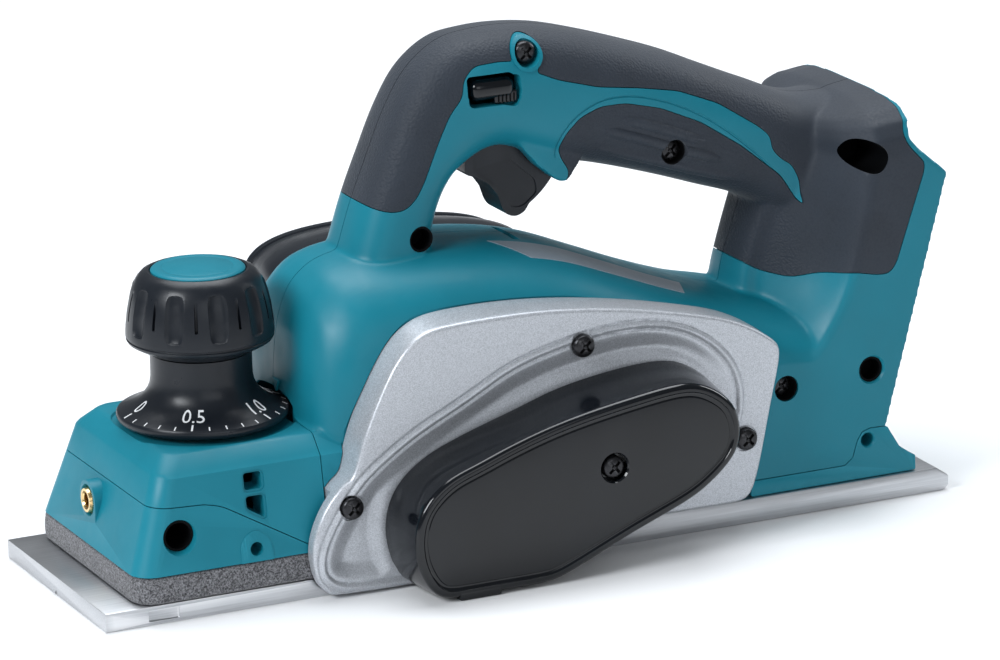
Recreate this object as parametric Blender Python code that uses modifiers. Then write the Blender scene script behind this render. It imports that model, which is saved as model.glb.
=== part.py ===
"""Battery electric hand planer, built as an assembly of separate pieces.

World frame: origin at the centre of the whole sole, -X towards the front of the tool,
-Y towards the belt cover side, +Z up. Sizes below are millimetres; helpers convert to metres.
"""
import math

import bmesh
import bpy
from mathutils import Matrix, Vector

MM = 0.001
GAP = 0.3                      # clearance left between pieces that touch on the real tool

# Driving dimensions
SOLE_LENGTH = 290.0
SOLE_WIDTH = 82.0
REAR_SOLE_THICK = 8.0
FRONT_SOLE_THICK = 6.0
DRUM_AXIS = (-24.5, 23.5)      # X, Z of the cutter drum
DRUM_RADIUS = 21.5
BLADE_CIRCLE = 23.2
MOTOR_AXIS = (36.0, 40.0)      # X, Z of the motor
KNOB_X = -94.4                 # depth knob axis
INSERT_CENTRE = (4.2, 27.3)    # Y, Z of the threaded insert in the front face
TRIGGER_PIVOT = (-2.0, 130.0)  # X, Z
LOCK_CENTRE = (-1.2, 144.6)    # X, Z of the lock-off button
FOOT_PIVOT = (118.0, 15.5)     # X, Z of the parking foot
DRUM_PULLEY = 17.0             # pulley radii, two to one
MOTOR_PULLEY = 8.5
PLATE_FACE = -46.0             # Y of the side plate's outer face
PLATE_BACK = -34.0
COVER_FACE = -66.0             # Y of the belt cover's outer face
DOCK_DEPTH = 17.5              # battery dock, measured from the cheeks' rear edge
DOCK_HALF = 31.0

HALF_SOLE = SOLE_WIDTH / 2
REAR_X = SOLE_LENGTH / 2
CHEEK_LOW = (118.9, 9.6)       # rear edge of the battery cheeks, low and high ends
CHEEK_HIGH = (145.3, 104.8)
CHEEK_LEAN = (CHEEK_HIGH[0] - CHEEK_LOW[0]) / (CHEEK_HIGH[1] - CHEEK_LOW[1])

PALETTE = {                    # base colour, roughness, metallic
    "teal": ((0.016, 0.235, 0.290), 0.42, 0.0),
    "grip": ((0.035, 0.040, 0.052), 0.75, 0.0),
    "dark": ((0.030, 0.034, 0.042), 0.45, 0.0),
    "gloss": ((0.012, 0.014, 0.018), 0.12, 0.0),
    "cast": ((0.60, 0.61, 0.63), 0.38, 0.9),
    "sole": ((0.66, 0.67, 0.69), 0.30, 1.0),
    "steel": ((0.56, 0.56, 0.57), 0.28, 1.0),
    "screw": ((0.03, 0.03, 0.03), 0.35, 0.8),
    "brass": ((0.78, 0.55, 0.25), 0.30, 1.0),
    "copper": ((0.70, 0.32, 0.16), 0.35, 1.0),
    "foam": ((0.16, 0.16, 0.17), 0.95, 0.0),
    "belt": ((0.02, 0.02, 0.02), 0.80, 0.0),
}


# ---------------------------------------------------------------- scene and helpers

def clear_scene():
    for item in list(bpy.data.objects):
        bpy.data.objects.remove(item, do_unlink=True)
    for group in list(bpy.data.collections):
        bpy.data.collections.remove(group)


def collection(name):
    group = bpy.data.collections.new(name)
    bpy.context.scene.collection.children.link(group)
    return group


def material(slot):
    if slot in bpy.data.materials:
        return bpy.data.materials[slot]
    colour, roughness, metallic = PALETTE[slot]
    mat = bpy.data.materials.new(slot)
    mat.use_nodes = True
    shader = mat.node_tree.nodes["Principled BSDF"]
    shader.inputs["Base Color"].default_value = (*colour, 1)
    shader.inputs["Roughness"].default_value = roughness
    shader.inputs["Metallic"].default_value = metallic
    mat.diffuse_color = (*colour, 1)
    return mat


def from_bmesh(name, work):
    """Object made of a bmesh whose coordinates are millimetres."""
    bmesh.ops.scale(work, vec=(MM, MM, MM), verts=work.verts)
    bmesh.ops.recalc_face_normals(work, faces=work.faces)
    mesh = bpy.data.meshes.new(name)
    work.to_mesh(mesh)
    work.free()
    item = bpy.data.objects.new(name, mesh)
    PARTS.objects.link(item)
    return item


def freeze(item):
    """Apply an object's modifiers and transform, or turn a curve into a welded mesh."""
    bpy.context.view_layer.update()
    ready = item.evaluated_get(bpy.context.evaluated_depsgraph_get())
    mesh = bpy.data.meshes.new_from_object(ready)
    mesh.transform(item.matrix_world)
    work = bmesh.new()
    work.from_mesh(mesh)
    bmesh.ops.remove_doubles(work, verts=work.verts, dist=1e-6)
    bmesh.ops.dissolve_degenerate(work, edges=work.edges, dist=1e-6)
    bmesh.ops.recalc_face_normals(work, faces=work.faces)
    work.to_mesh(mesh)
    work.free()
    name = item.name
    bpy.data.objects.remove(item, do_unlink=True)
    solid = bpy.data.objects.new(name, mesh)
    solid.name = name
    PARTS.objects.link(solid)
    return solid


def boolean(item, other, operation="DIFFERENCE", keep=False):
    """Cut, join or intersect two solids and return the first with the result in it."""
    step = item.modifiers.new(operation.lower(), "BOOLEAN")
    step.operation = operation
    step.object = other
    step.solver = "EXACT"
    result = freeze(item)
    if not keep:
        bpy.data.objects.remove(other, do_unlink=True)
    return result


def cut(item, *others):
    for other in others:
        item = boolean(item, other)
    return item


def join(item, *others):
    for other in others:
        item = boolean(item, other, "UNION")
    return item


def copy_of(item, name):
    twin = item.copy()
    twin.data = item.data.copy()
    twin.name = name
    PARTS.objects.link(twin)
    return twin


def named(item, name, slot, smooth=30.0):
    """Give a finished solid its node name and material."""
    item.name = name
    item.data.name = name
    item.data.materials.clear()
    item.data.materials.append(material(slot))
    item.data.shade_smooth()
    item.data.set_sharp_from_angle(angle=math.radians(smooth))
    return item


def slab(name, outline, y_near, y_far, holes=()):
    """Flat solid: an (X, Z) outline in mm, with holes, from Y = y_near to Y = y_far."""
    curve = bpy.data.curves.new(name, "CURVE")
    curve.dimensions = "2D"
    curve.fill_mode = "BOTH"
    curve.extrude = abs(y_far - y_near) / 2 * MM
    for ring in (outline, *holes):
        spline = curve.splines.new("POLY")
        spline.points.add(len(ring) - 1)
        for point, (x, z) in zip(spline.points, ring):
            point.co = (x * MM, z * MM, 0, 1)
        spline.use_cyclic_u = True
    guide = bpy.data.objects.new(name, curve)
    guide.rotation_euler = (math.pi / 2, 0, 0)
    guide.location = (0, (y_near + y_far) / 2 * MM, 0)
    PARTS.objects.link(guide)
    return freeze(guide)


def box(name, low, high, bevel=0.0):
    """Block between two corners in mm, its edges rounded by bevel."""
    work = bmesh.new()
    bmesh.ops.create_cube(work, size=1)
    size = [b - a for a, b in zip(low, high)]
    middle = [(a + b) / 2 for a, b in zip(low, high)]
    bmesh.ops.scale(work, vec=size, verts=work.verts)
    bmesh.ops.translate(work, vec=middle, verts=work.verts)
    item = from_bmesh(name, work)
    if bevel:
        edge = item.modifiers.new("edge", "BEVEL")
        edge.width = bevel * MM
        edge.segments = 2
        item = freeze(item)
    return item


def rod(name, start, end, radius, sides=24):
    """Round bar between two points in mm."""
    start, end = Vector(start), Vector(end)
    work = bmesh.new()
    bmesh.ops.create_cone(work, cap_ends=True, segments=sides, radius1=radius, radius2=radius,
                          depth=(end - start).length)
    turn = (end - start).to_track_quat("Z", "Y").to_matrix().to_4x4()
    bmesh.ops.transform(work, matrix=Matrix.Translation((start + end) / 2) @ turn, verts=work.verts)
    return from_bmesh(name, work)


def along_y(name, axis, y_near, y_far, radius, sides=24):
    """Round bar parallel to Y, centred on an (X, Z) axis."""
    return rod(name, (axis[0], y_near, axis[1]), (axis[0], y_far, axis[1]), radius, sides)


def ring_y(name, axis, y_near, y_far, outer, inner, sides=24):
    """Tube or washer parallel to Y."""
    hole = circle(axis, inner, sides)
    return slab(name, circle(axis, outer, sides), y_near, y_far, [hole])


def turned(name, profile, centre, steps=32):
    """Round piece about a vertical axis from (radius, Z) points, running down its outside."""
    mesh = bpy.data.meshes.new(name)
    points = [(radius * MM, 0, z * MM) for radius, z in profile]
    closed = profile[0][0] > 0 and profile[-1][0] > 0
    edges = [(i, i + 1) for i in range(len(points) - 1)]
    if closed:
        edges.append((len(points) - 1, 0))
    mesh.from_pydata(points, edges, [])
    item = bpy.data.objects.new(name, mesh)
    item.location = (centre[0] * MM, centre[1] * MM, 0)
    PARTS.objects.link(item)
    lathe = item.modifiers.new("lathe", "SCREW")
    lathe.steps = steps
    lathe.render_steps = steps
    lathe.use_merge_vertices = True
    lathe.merge_threshold = 0.00001
    return freeze(item)


def loft(name, rings):
    """Closed skin through rings of equal point count, flat at both ends."""
    work = bmesh.new()
    levels = [[work.verts.new(point) for point in ring] for ring in rings]
    count = len(rings[0])
    for lower, upper in zip(levels, levels[1:]):
        for i in range(count):
            j = (i + 1) % count
            work.faces.new((lower[i], lower[j], upper[j], upper[i]))
    work.faces.new(levels[0])
    work.faces.new(levels[-1])
    bmesh.ops.triangulate(work, faces=work.faces)
    return from_bmesh(name, work)


# ---------------------------------------------------------------- outlines

def circle(centre, radius, sides=24):
    return arc(centre, radius, 0, 360 - 360 / sides, sides - 1)


def arc(centre, radius, start, end, steps):
    """Points (X, Z) on an arc between two angles in degrees."""
    points = []
    for i in range(steps + 1):
        angle = math.radians(start + (end - start) * i / steps)
        points.append((centre[0] + radius * math.cos(angle), centre[1] + radius * math.sin(angle)))
    return points


def inset(outline, amount):
    """Move an anticlockwise outline inwards by one amount, or one for each corner, mitring the corners."""
    moved = []
    count = len(outline)
    amounts = amount if isinstance(amount, list) else [amount] * count
    for i in range(count):
        before, here, after = (Vector(outline[k % count]) for k in (i - 1, i, i + 1))
        first = (here - before).normalized()
        second = (after - here).normalized()
        normal = Vector((-first.y - second.y, first.x + second.x)).normalized()
        spread = max(0.5, normal.dot(Vector((-first.y, first.x))))
        moved.append(tuple(here + normal * (amounts[i] / spread)))
    return moved


def hull_of_circles(first, radius_1, second, radius_2, steps=10):
    """Outline of a taut belt round two circles, anticlockwise from under the second."""
    dx, dz = second[0] - first[0], second[1] - first[1]
    lean = math.degrees(math.atan2(dz, dx))
    spread = math.degrees(math.acos((radius_1 - radius_2) / math.hypot(dx, dz)))
    right = arc(second, radius_2, lean - spread, lean + spread, steps)
    left = arc(first, radius_1, lean + spread, lean + 360 - spread, steps + 6)
    return right + left


def cheek_x(z):
    """X of the battery cheeks' rear edge at height z."""
    return CHEEK_LOW[0] + (z - CHEEK_LOW[1]) * CHEEK_LEAN


# Side plate outline (X, Z), anticlockwise, from its low rear corner
PLATE_OUTLINE = [
    (72.0, 11.0), (78.1, 38.0), (82.3, 55.3), (80.0, 60.6), (67.8, 68.2), (53.9, 72.4), (36.7, 76.4),
    (19.5, 79.3), (2.5, 81.1), (-14.4, 81.6), (-31.3, 81.2), (-39.0, 80.0), (-45.6, 76.0), (-51.0, 69.0),
    (-55.6, 60.0), (-60.5, 49.4), (-64.2, 37.7), (-68.0, 35.6), (-72.9, 30.6), (-76.9, 23.3),
    (-78.8, 15.7), (-77.5, 6.8), (-73.5, 2.2), (-68.0, 0.9), (-20.0, 0.9), (-12.0, 8.6), (60.0, 9.4),
]
# How far the rim has spread outwards at each of those corners where it meets the housing
PLATE_FLARE = [0, 0.3, 0.4, 0.4, 0.5, 0.5, 0.6, 0.9, 1.3, 1.8, 1.8, 1.3, 0.9, 1.0, 1.2, 1.2, 0.8, 0.4,
               0.3, 0.2, 0, 0, 0, 0, 0, 0, 0]

# Dark grip region of the left side view (X, Z), anticlockwise
GRIP_REGION = [
    (22.0, 106.0), (60.0, 84.0), (76.0, 79.5), (84.0, 76.5), (114.0, 76.3), (120.0, 74.6),
    (124.2, 74.6), (126.6, 77.4), (136.6, 106.0), (136.9, 109.0), (131.2, 115.2), (129.6, 119.0),
    (131.4, 124.0), (131.8, 134.0), (60.0, 172.0), (-30.0, 172.0), (-62.0, 122.0), (-50.5, 116.3),
    (-40.6, 111.2), (-35.6, 110.2), (-31.4, 110.9), (-28.0, 113.9), (-25.3, 118.6), (-19.9, 131.5),
    (-16.3, 138.9), (-12.1, 143.8), (-11.4, 149.0), (-7.5, 152.9), (1.0, 153.4), (5.2, 153.0),
    (5.8, 157.2), (9.2, 159.7), (13.2, 159.2), (15.6, 156.0), (15.2, 152.0), (12.5, 149.0),
    (20.3, 145.5), (34.0, 141.6), (47.8, 139.6), (61.7, 136.8), (75.6, 131.1), (89.6, 121.9),
    (93.5, 118.4), (94.1, 113.8), (97.7, 110.1), (100.9, 108.2), (103.6, 102.8), (104.3, 94.4),
    (97.0, 105.1), (83.0, 116.7), (69.0, 126.0), (55.1, 132.2), (43.0, 135.3), (34.4, 135.3),
    (27.4, 132.6), (22.9, 127.8), (21.4, 123.2), (22.6, 119.4), (25.6, 114.6),
]


# ---------------------------------------------------------------- master forms of the casing

# Handle: front/top point, rear/under point (X, Z) and half width, from the front pillar's foot
HANDLE_SECTIONS = [
    ((-57.0, 70.0), (-20.5, 70.0), 19.0), ((-52.6, 83.5), (-20.8, 84.0), 18.0),
    ((-47.6, 98.0), (-19.6, 99.5), 17.2), ((-43.1, 111.3), (-16.6, 110.0), 16.8),
    ((-37.6, 124.5), (-12.0, 117.5), 16.8), ((-31.2, 139.0), (-6.0, 121.6), 17.0),
    ((-23.5, 151.0), (-1.0, 123.6), 17.4), ((-12.8, 158.8), (3.5, 124.2), 17.8),
    ((-1.0, 160.9), (8.5, 123.0), 18.0), ((10.5, 161.0), (15.5, 120.0), 18.0),
    ((23.0, 159.4), (24.0, 117.0), 18.2), ((37.0, 155.6), (35.0, 114.6), 18.4),
    ((51.0, 151.0), (47.0, 111.2), 18.6), ((65.0, 145.9), (60.0, 107.0), 18.6),
    ((79.0, 139.6), (73.0, 102.4), 18.4), ((94.0, 133.0), (88.0, 97.0), 18.6),
    ((110.0, 126.8), (104.0, 88.0), 18.8), ((130.5, 126.4), (122.0, 90.0), 19.0),
]

# Motor hump: X, top Z, shoulder Z, half width
HUMP_SECTIONS = [
    (-70.7, 80.0, 40.0, 27.0), (-68.0, 86.5, 44.0, 31.0), (-63.0, 91.5, 50.0, 34.0),
    (-55.0, 95.0, 60.0, 35.5), (-42.0, 97.0, 68.0, 36.0), (-20.0, 97.4, 72.0, 36.5),
    (0.0, 95.8, 70.0, 37.0), (18.0, 91.8, 66.0, 38.0), (36.0, 84.6, 61.0, 39.0),
    (54.0, 77.0, 57.0, 39.4), (72.0, 70.4, 53.0, 39.5), (84.0, 67.4, 50.0, 39.6),
    (98.0, 64.0, 48.5, 39.6), (112.0, 62.0, 48.0, 39.6),
]

# Rear column: Z, front X, front half width, X where the flat sides start
COLUMN_SECTIONS = [
    (46.0, 82.0, 20.0, 100.0), (56.0, 83.0, 17.0, 105.0), (66.0, 83.5, 14.5, 110.5),
    (76.0, 85.4, 13.5, 114.0), (90.0, 90.0, 14.0, 116.5), (104.0, 96.0, 16.0, 119.0),
    (115.0, 101.0, 17.0, 121.5),
]


def superellipse(half_u, half_v, exponent, count):
    ring = []
    for i in range(count):
        angle = 2 * math.pi * i / count
        u, v = math.cos(angle), math.sin(angle)
        ring.append((half_u * math.copysign(abs(u) ** (2 / exponent), u),
                     half_v * math.copysign(abs(v) ** (2 / exponent), v)))
    return ring


def handle_form(depth, count=16):
    """D-handle, with its surface moved inwards by depth."""
    rings = []
    for i, (front, under, half) in enumerate(HANDLE_SECTIONS):
        setback = Vector((depth if i == len(HANDLE_SECTIONS) - 1 else 0, 0))
        front, under = Vector(front) - setback, Vector(under) - setback
        middle = (front + under) / 2
        across = (front - under).normalized()
        half_u = (front - under).length / 2 - depth
        rings.append([(middle.x + across.x * u, v, middle.y + across.y * u)
                      for u, v in superellipse(half_u, half - depth, 2.5, count)])
    return loft("handle_form", rings)


def hump_form(depth, floor):
    """Body over the drum and motor, open to its floor height."""
    rings = []
    last = len(HUMP_SECTIONS) - 1
    for i, (x, top, shoulder, half) in enumerate(HUMP_SECTIONS):
        x += depth * ((i == 0) - (i == last))
        arch = [(u, v) for u, v in superellipse(half - depth, top - shoulder - depth, 2.4, 20) if v > -0.01]
        arch.sort(key=lambda point: -point[0])
        ring = [(half - depth, floor), *((u, shoulder + max(v, 0)) for u, v in arch), (-half + depth, floor)]
        rings.append([(x, y, z) for y, z in ring])
    return loft("hump_form", rings)


def column_ring(z, front, nose, flat, depth, rear):
    """One level of the rear column: flat sides behind, drawn in to a narrow nose in front."""
    side = HALF_SOLE - 1 - depth
    nose -= depth
    half = [(rear, side), (flat + depth / 2, side), (flat - 4, side - 3.2),
            (flat - 9, side * 0.45 + nose * 0.5), (front + 8, nose),
            (front + 2.5 + depth, nose * 0.8), (front + depth, nose * 0.35)]
    return [(x, y, z) for x, y in half] + [(x, -y, z) for x, y in reversed(half)]


def column_form(depth, behind):
    """Rear column; behind is how far its back lies from the cheeks' rear edge."""
    rings = [column_ring(z, front, nose, flat, depth, cheek_x(z) - behind)
             for z, front, nose, flat in COLUMN_SECTIONS]
    top = 127.0 - depth
    heights = [top, top - 5.0, top - 8.6, top - 8.0, top - 7.4, top - 7.4, top - 7.4]
    wall_x = cheek_x(top) - DOCK_DEPTH - depth
    crown = [(min(x + 1.2, wall_x), y * 0.80, z)
             for (x, y, _), z in zip(rings[-1], heights + heights[::-1])]
    return loft("column_form", [*rings, crown])


def rear_outline(depth):
    """Side view of the rear housing down to the base, anticlockwise."""
    return [(60, 9.6), (CHEEK_LOW[0] - depth, 9.6), (CHEEK_HIGH[0] - depth, CHEEK_HIGH[1] - depth),
            (135.2 - depth, 113.6 - depth), (132.0 - depth, 117.4), (133.4 - depth, 126.0),
            (131.6 - depth, 128.2 - depth), (112, 128.2 - depth), (60, 140)]


def casing(depth):
    """Whole casing as one solid, with its surface moved inwards by depth."""
    column = column_form(depth, depth)
    column = boolean(column, slab("trim", rear_outline(depth), -60, 60), "INTERSECT")
    back = depth + 0.2
    lower = slab("lower", [(60, 9.6), (CHEEK_LOW[0] - back, 9.6), (cheek_x(50) - back, 50), (96, 50 - depth),
                           (60, 52 - depth)], -39.8 + depth, 39.8 - depth)
    return join(hump_form(depth, 9.6), handle_form(depth), lower, column)


def cavity():
    """Hollow inside of the casing, open at the bottom."""
    wall = 4.4
    column = column_form(wall, DOCK_DEPTH + wall)
    wall_back = DOCK_DEPTH + 5
    outline = [(56, 0), (CHEEK_LOW[0] - 5, 0), (cheek_x(22) - 5, 22), (cheek_x(24) - wall_back, 23),
               (cheek_x(46) - wall_back, 47), (56, 47)]
    lower = slab("hollow", outline, -36.5, 36.5)
    return join(hump_form(wall, 0.5), handle_form(wall, 16), lower, column)


def dock_cutter():
    """Slot for the battery: wide at the terminal wall, narrowed by a rail on each cheek."""
    def strip(name, near, far, half):
        low, high = 27.0, 140.0
        outline = [(cheek_x(low) - far, low), (cheek_x(low) - near, low),
                   (cheek_x(high) - near, high), (cheek_x(high) - far, high)]
        return slab(name, outline, -half, half)
    return join(strip("dock", 8.5, DOCK_DEPTH, DOCK_HALF), strip("rails", 3.5, 9.0, DOCK_HALF - 4.5),
                strip("mouth", -8, 4.0, DOCK_HALF))


def screw(name, axis, head_y, length, head_radius=3.9):
    """Cross-head screw parallel to Y, its head at head_y and its shank towards +Y."""
    head = along_y(name, axis, head_y, head_y + 2.6, head_radius, 16)
    item = join(head, along_y("shank", axis, head_y + 2.0, head_y + length, 1.9, 10))
    for across, up in ((2.3, 0.55), (0.55, 2.3)):
        item = cut(item, box("cross", (axis[0] - across, head_y - 1, axis[1] - up),
                             (axis[0] + across, head_y + 1.4, axis[1] + up)))
    return named(item, name, "screw")


def screw_hole(axis, head_y, end_y):
    """Clearance for a screw: head pocket opening outwards, then the shank."""
    pocket = along_y("pocket", axis, head_y - 12, head_y + 2.6 + GAP, 4.5, 16)
    return join(pocket, along_y("bore", axis, head_y, end_y, 2.3, 10))


# ---------------------------------------------------------------- sub-parts

HOUSING_SCREWS = {"handle_screw_front": ((10.7, 154.6), -15.2, 24.0),
                  "handle_screw_rear": ((60.1, 117.2), -14.8, 24.0),
                  "housing_screw": ((87.2, 42.0), -31.0, 30.0)}
PLATE_SCREWS = {"plate_screw_top": ((13.2, 68.6), -48.4, 16.0),
                "plate_screw_front": ((-65.3, 28.4), -47.4, 14.0),
                "plate_screw_rear": ((69.2, 30.1), -48.4, 16.0)}
COVER_SCREW = ((14.2, 34.3), -65.2, 20.0)


def trigger_window():
    """Opening under the handle that the trigger swings in."""
    outline = [(-9.6, 117.5), (-7.5, 112.0), (10.0, 92.0)]
    outline += arc(TRIGGER_PIVOT, 33.0, -62, -2, 8)
    outline += [(29.0, 133.5), (-6.5, 133.5)]
    return slab("trigger_window", outline, -8.4, 8.4)


def build_housing():
    """Two clamshell halves and the soft grip moulded over each."""
    outer = casing(0)
    guard = slab("guard", [(8.0, 126.0), (15.0, 117.6), (21.6, 112.1), (24.6, 111.4), (26.6, 113.6),
                           (30.0, 118.5), (30.0, 127.0)], -12.5, 12.5)
    outer = join(outer, guard)
    under_grip = casing(2.1)
    grip_layer = boolean(copy_of(outer, "grip_layer"),
                         slab("grip_region", inset(GRIP_REGION, 0.15), -60, 60), "INTERSECT")
    grip_layer = cut(grip_layer, casing(1.8))
    seat = cut(slab("seat", inset(GRIP_REGION, -0.15), -60, 60), under_grip)
    shell = cut(outer, seat, cavity(), dock_cutter(), trigger_window())

    plate_seat = loft("plate_seat", [plate_ring(y, GAP) for y in (-60, PLATE_FACE + 2, PLATE_BACK + GAP)])
    drum_chamber = along_y("chamber", DRUM_AXIS, -60, 60, 26.0, 32)
    motor_hole = along_y("motor_hole", MOTOR_AXIS, -50, -30, 16.0, 24)
    lock_slot = box("lock_slot", (-10.0, -30, 140.0), (7.6, 30, 149.2), 2.0)
    shell = cut(shell, plate_seat, drum_chamber, motor_hole, lock_slot, nozzle_form(-GAP, "nozzle_seat"))
    lower_cut = slab("lower_cut", inset(LOWER_COVER, -GAP), -60, 60)
    shell = cut(shell, lower_cut)
    for axis, head_y, length in [*HOUSING_SCREWS.values(), *PLATE_SCREWS.values()]:
        shell = cut(shell, screw_hole(axis, head_y, head_y + length + 1))
    shell = cut(shell, along_y("side_hole", (117.7, 43.7), -50, -32, 3.9, 16),
                along_y("leg_hole", (-26.8, 100.7), -30, -8, 3.9, 16),
                along_y("pin_hole", TRIGGER_PIVOT, -13, 13, 2.25, 12),
                rod("dial_room", (KNOB_X, 0, 42), (KNOB_X, 0, 57), 27.6, 30),
                box("foot_bay", (96, 12, 0), (134, 30, 24.6)))
    for axis, head_y, length in HOUSING_SCREWS.values():
        grip_layer = cut(grip_layer, screw_hole(axis, head_y, head_y + length + 1))
    grip_layer = cut(grip_layer, along_y("boot_hole", (116.6, 112.9), -50, -24, 5.2, 16), dock_cutter(),
                     trigger_window())

    for side, low, high in (("left", -90, -0.15), ("right", 0.15, 90)):
        half_space = box("half_space", (-200, low, -20), (200, high, 200))
        half = boolean(copy_of(shell, "half"), half_space, "INTERSECT", keep=True)
        named(half, "housing_" + side, "teal")
        skin = boolean(copy_of(grip_layer, "skin"), half_space, "INTERSECT")
        named(skin, "grip_" + side, "grip")
    for spent in (shell, grip_layer):
        bpy.data.objects.remove(spent, do_unlink=True)


LOWER_COVER = [(73.6, 9.6), (119.0, 9.6), (119.6, 7.0), (126.0, 7.0), (126.0, 23.9), (116.9, 24.4),
               (114.2, 23.5), (112.6, 21.2), (110.8, 15.5), (107.9, 13.3), (73.6, 13.3)]


def build_lower_cover():
    """Rear foot moulding that closes the housing onto the sole."""
    outline = [(74.4, 8.3), (133.4, 8.3), (133.3, 13.2), (131.5, 14.0), (127.0, 17.4), (123.2, 24.2),
               (116.9, 24.4), (114.2, 23.5), (112.6, 21.2), (110.8, 15.5), (107.9, 13.3), (74.4, 13.3)]
    item = slab("lower_rear_cover", outline, -40, 40)
    item = cut(item, box("foot_bay", (96, 12, 0), (150, 30, 60)), box("inside", (70, -36, 0), (108, 9, 30)))
    item = cut(item, along_y("foot_pin_hole", FOOT_PIVOT, 8, 34, 2.3, 12))
    item = cut(item, along_y("cover_hole", (116.2, 20.7), -50, -30, 2.2, 12))
    named(item, "lower_rear_cover", "teal")


def plate_ring(y, grow):
    """Side plate's outline, grown by grow, in the plane y; behind its face it spreads into the rim."""
    share = max(0.0, (y - PLATE_FACE - 2) / (PLATE_BACK - PLATE_FACE - 2))
    return [(x, y, z) for x, z in inset(PLATE_OUTLINE, [-grow - flare * share for flare in PLATE_FLARE])]


def build_side_plate():
    """Cast plate that carries the drum and motor bearings, with a return rim."""
    plate = loft("side_plate", [plate_ring(y, 0) for y in (PLATE_FACE, PLATE_FACE + 2, PLATE_BACK)])
    plate = cut(plate, loft("inside", [plate_ring(y, -3.2) for y in (PLATE_FACE + 4, PLATE_BACK + 1)]),
                box("sole_room", (-90, -42.2, -5), (90, 0, 12.4)),
                box("block_room", (-90, -41.8, -5), (-70.6, 0, 90)))
    for axis, radius, back in ((DRUM_AXIS, 13.5, -41.8), (MOTOR_AXIS, 13.5, -36.0)):
        plate = join(plate, along_y("boss", axis, -49.5, back, radius, 24))
    plate = cut(plate, along_y("drum_seat", DRUM_AXIS, -60, -30, 11.3, 24),
                along_y("motor_seat", MOTOR_AXIS, -60, -30, 11.3, 24))
    for axis, head_y, _ in PLATE_SCREWS.values():
        plate = cut(plate, screw_hole(axis, head_y, -20))
    plate = cut(plate, along_y("bore", COVER_SCREW[0], -60, -20, 2.3, 12))
    named(plate, "side_plate", "cast")


def cover_outline():
    """Belt cover outline (X, Z), anticlockwise: a flat bottom, a large front lobe, a small rear one."""
    rear = arc((37.0, 39.8), 20.0, -58, 86, 9)
    top = [(24.0, 58.6), (9.2, 56.1), (-7.8, 52.4), (-24.6, 48.2)]
    front = arc((-24.5, 22.0), 30.3, 122, 224, 8)
    return rear + top + front + [(-44.5, 1.2), (-6.4, 1.2), (19.6, 12.1), (40.4, 20.9)]


def build_belt_drive():
    """Gloss cover, the two pulleys and the belt between them."""
    outline = cover_outline()
    cover = slab("belt_cover", outline, COVER_FACE, PLATE_FACE - GAP)
    cover = cut(cover, slab("cover_inside", inset(outline, 2.6), COVER_FACE + 2.6, PLATE_FACE + 1))
    cover = join(cover, along_y("cover_post", COVER_SCREW[0], COVER_FACE + 1, -50, 6.2, 16))
    cover = cut(cover, screw_hole(COVER_SCREW[0], COVER_SCREW[1], -45))
    named(cover, "belt_cover", "gloss")

    inner = hull_of_circles(DRUM_AXIS, DRUM_PULLEY + GAP, MOTOR_AXIS, MOTOR_PULLEY + GAP)
    outer = hull_of_circles(DRUM_AXIS, DRUM_PULLEY + 2.2, MOTOR_AXIS, MOTOR_PULLEY + 2.2)
    belt = slab("drive_belt", outer, -60.5, -51.5, [inner])
    named(belt, "drive_belt", "belt")


def nozzle_form(depth, name):
    """Wide oval duct leading from the drum chamber out to the right side of the tool."""
    rings = []
    for y, x, z, half_x, half_z in ((24, -9, 66, 38, 15.5), (40, -6, 66.5, 42, 17.0),
                                    (60, -1, 67.0, 47, 17.5), (88, 4, 61.5, 46, 17.0)):
        y += depth * (1 if y == 24 else -1 if y == 88 else 0)
        rings.append([(x + u, y, z + v) for u, v in superellipse(half_x - depth, half_z - depth, 3.2, 24)])
    return loft(name, rings)


def build_chip_nozzle():
    item = nozzle_form(0, "chip_nozzle")
    bore = nozzle_form(2.4, "nozzle_bore")
    bore.scale = (1, 1.2, 1)
    bore.location = (0, -0.0106, 0)
    bore = freeze(bore)
    named(cut(item, bore), "chip_nozzle", "dark")


def block_ring(z, front, half, radius):
    """One level of the front housing, its two front corners rounded."""
    near = arc((front + radius, -half + radius), radius, 270, 180, 4)
    far = arc((front + radius, half - radius), radius, 180, 90, 4)
    return [(x, y, z) for x, y in [(-71.0, -half), *near, *far, (-71.0, half)]]


def front_block(depth, floor):
    rings = [block_ring(floor, -134.0 + depth, 41.2 - depth, 7.0),
             block_ring(43.6, -124.4 + depth, 35.6 - depth, 6.0),
             block_ring(49.0 - depth, -119.0 + depth, 30.5 - depth / 2, 5.0)]
    return loft("front_block", rings)


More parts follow.
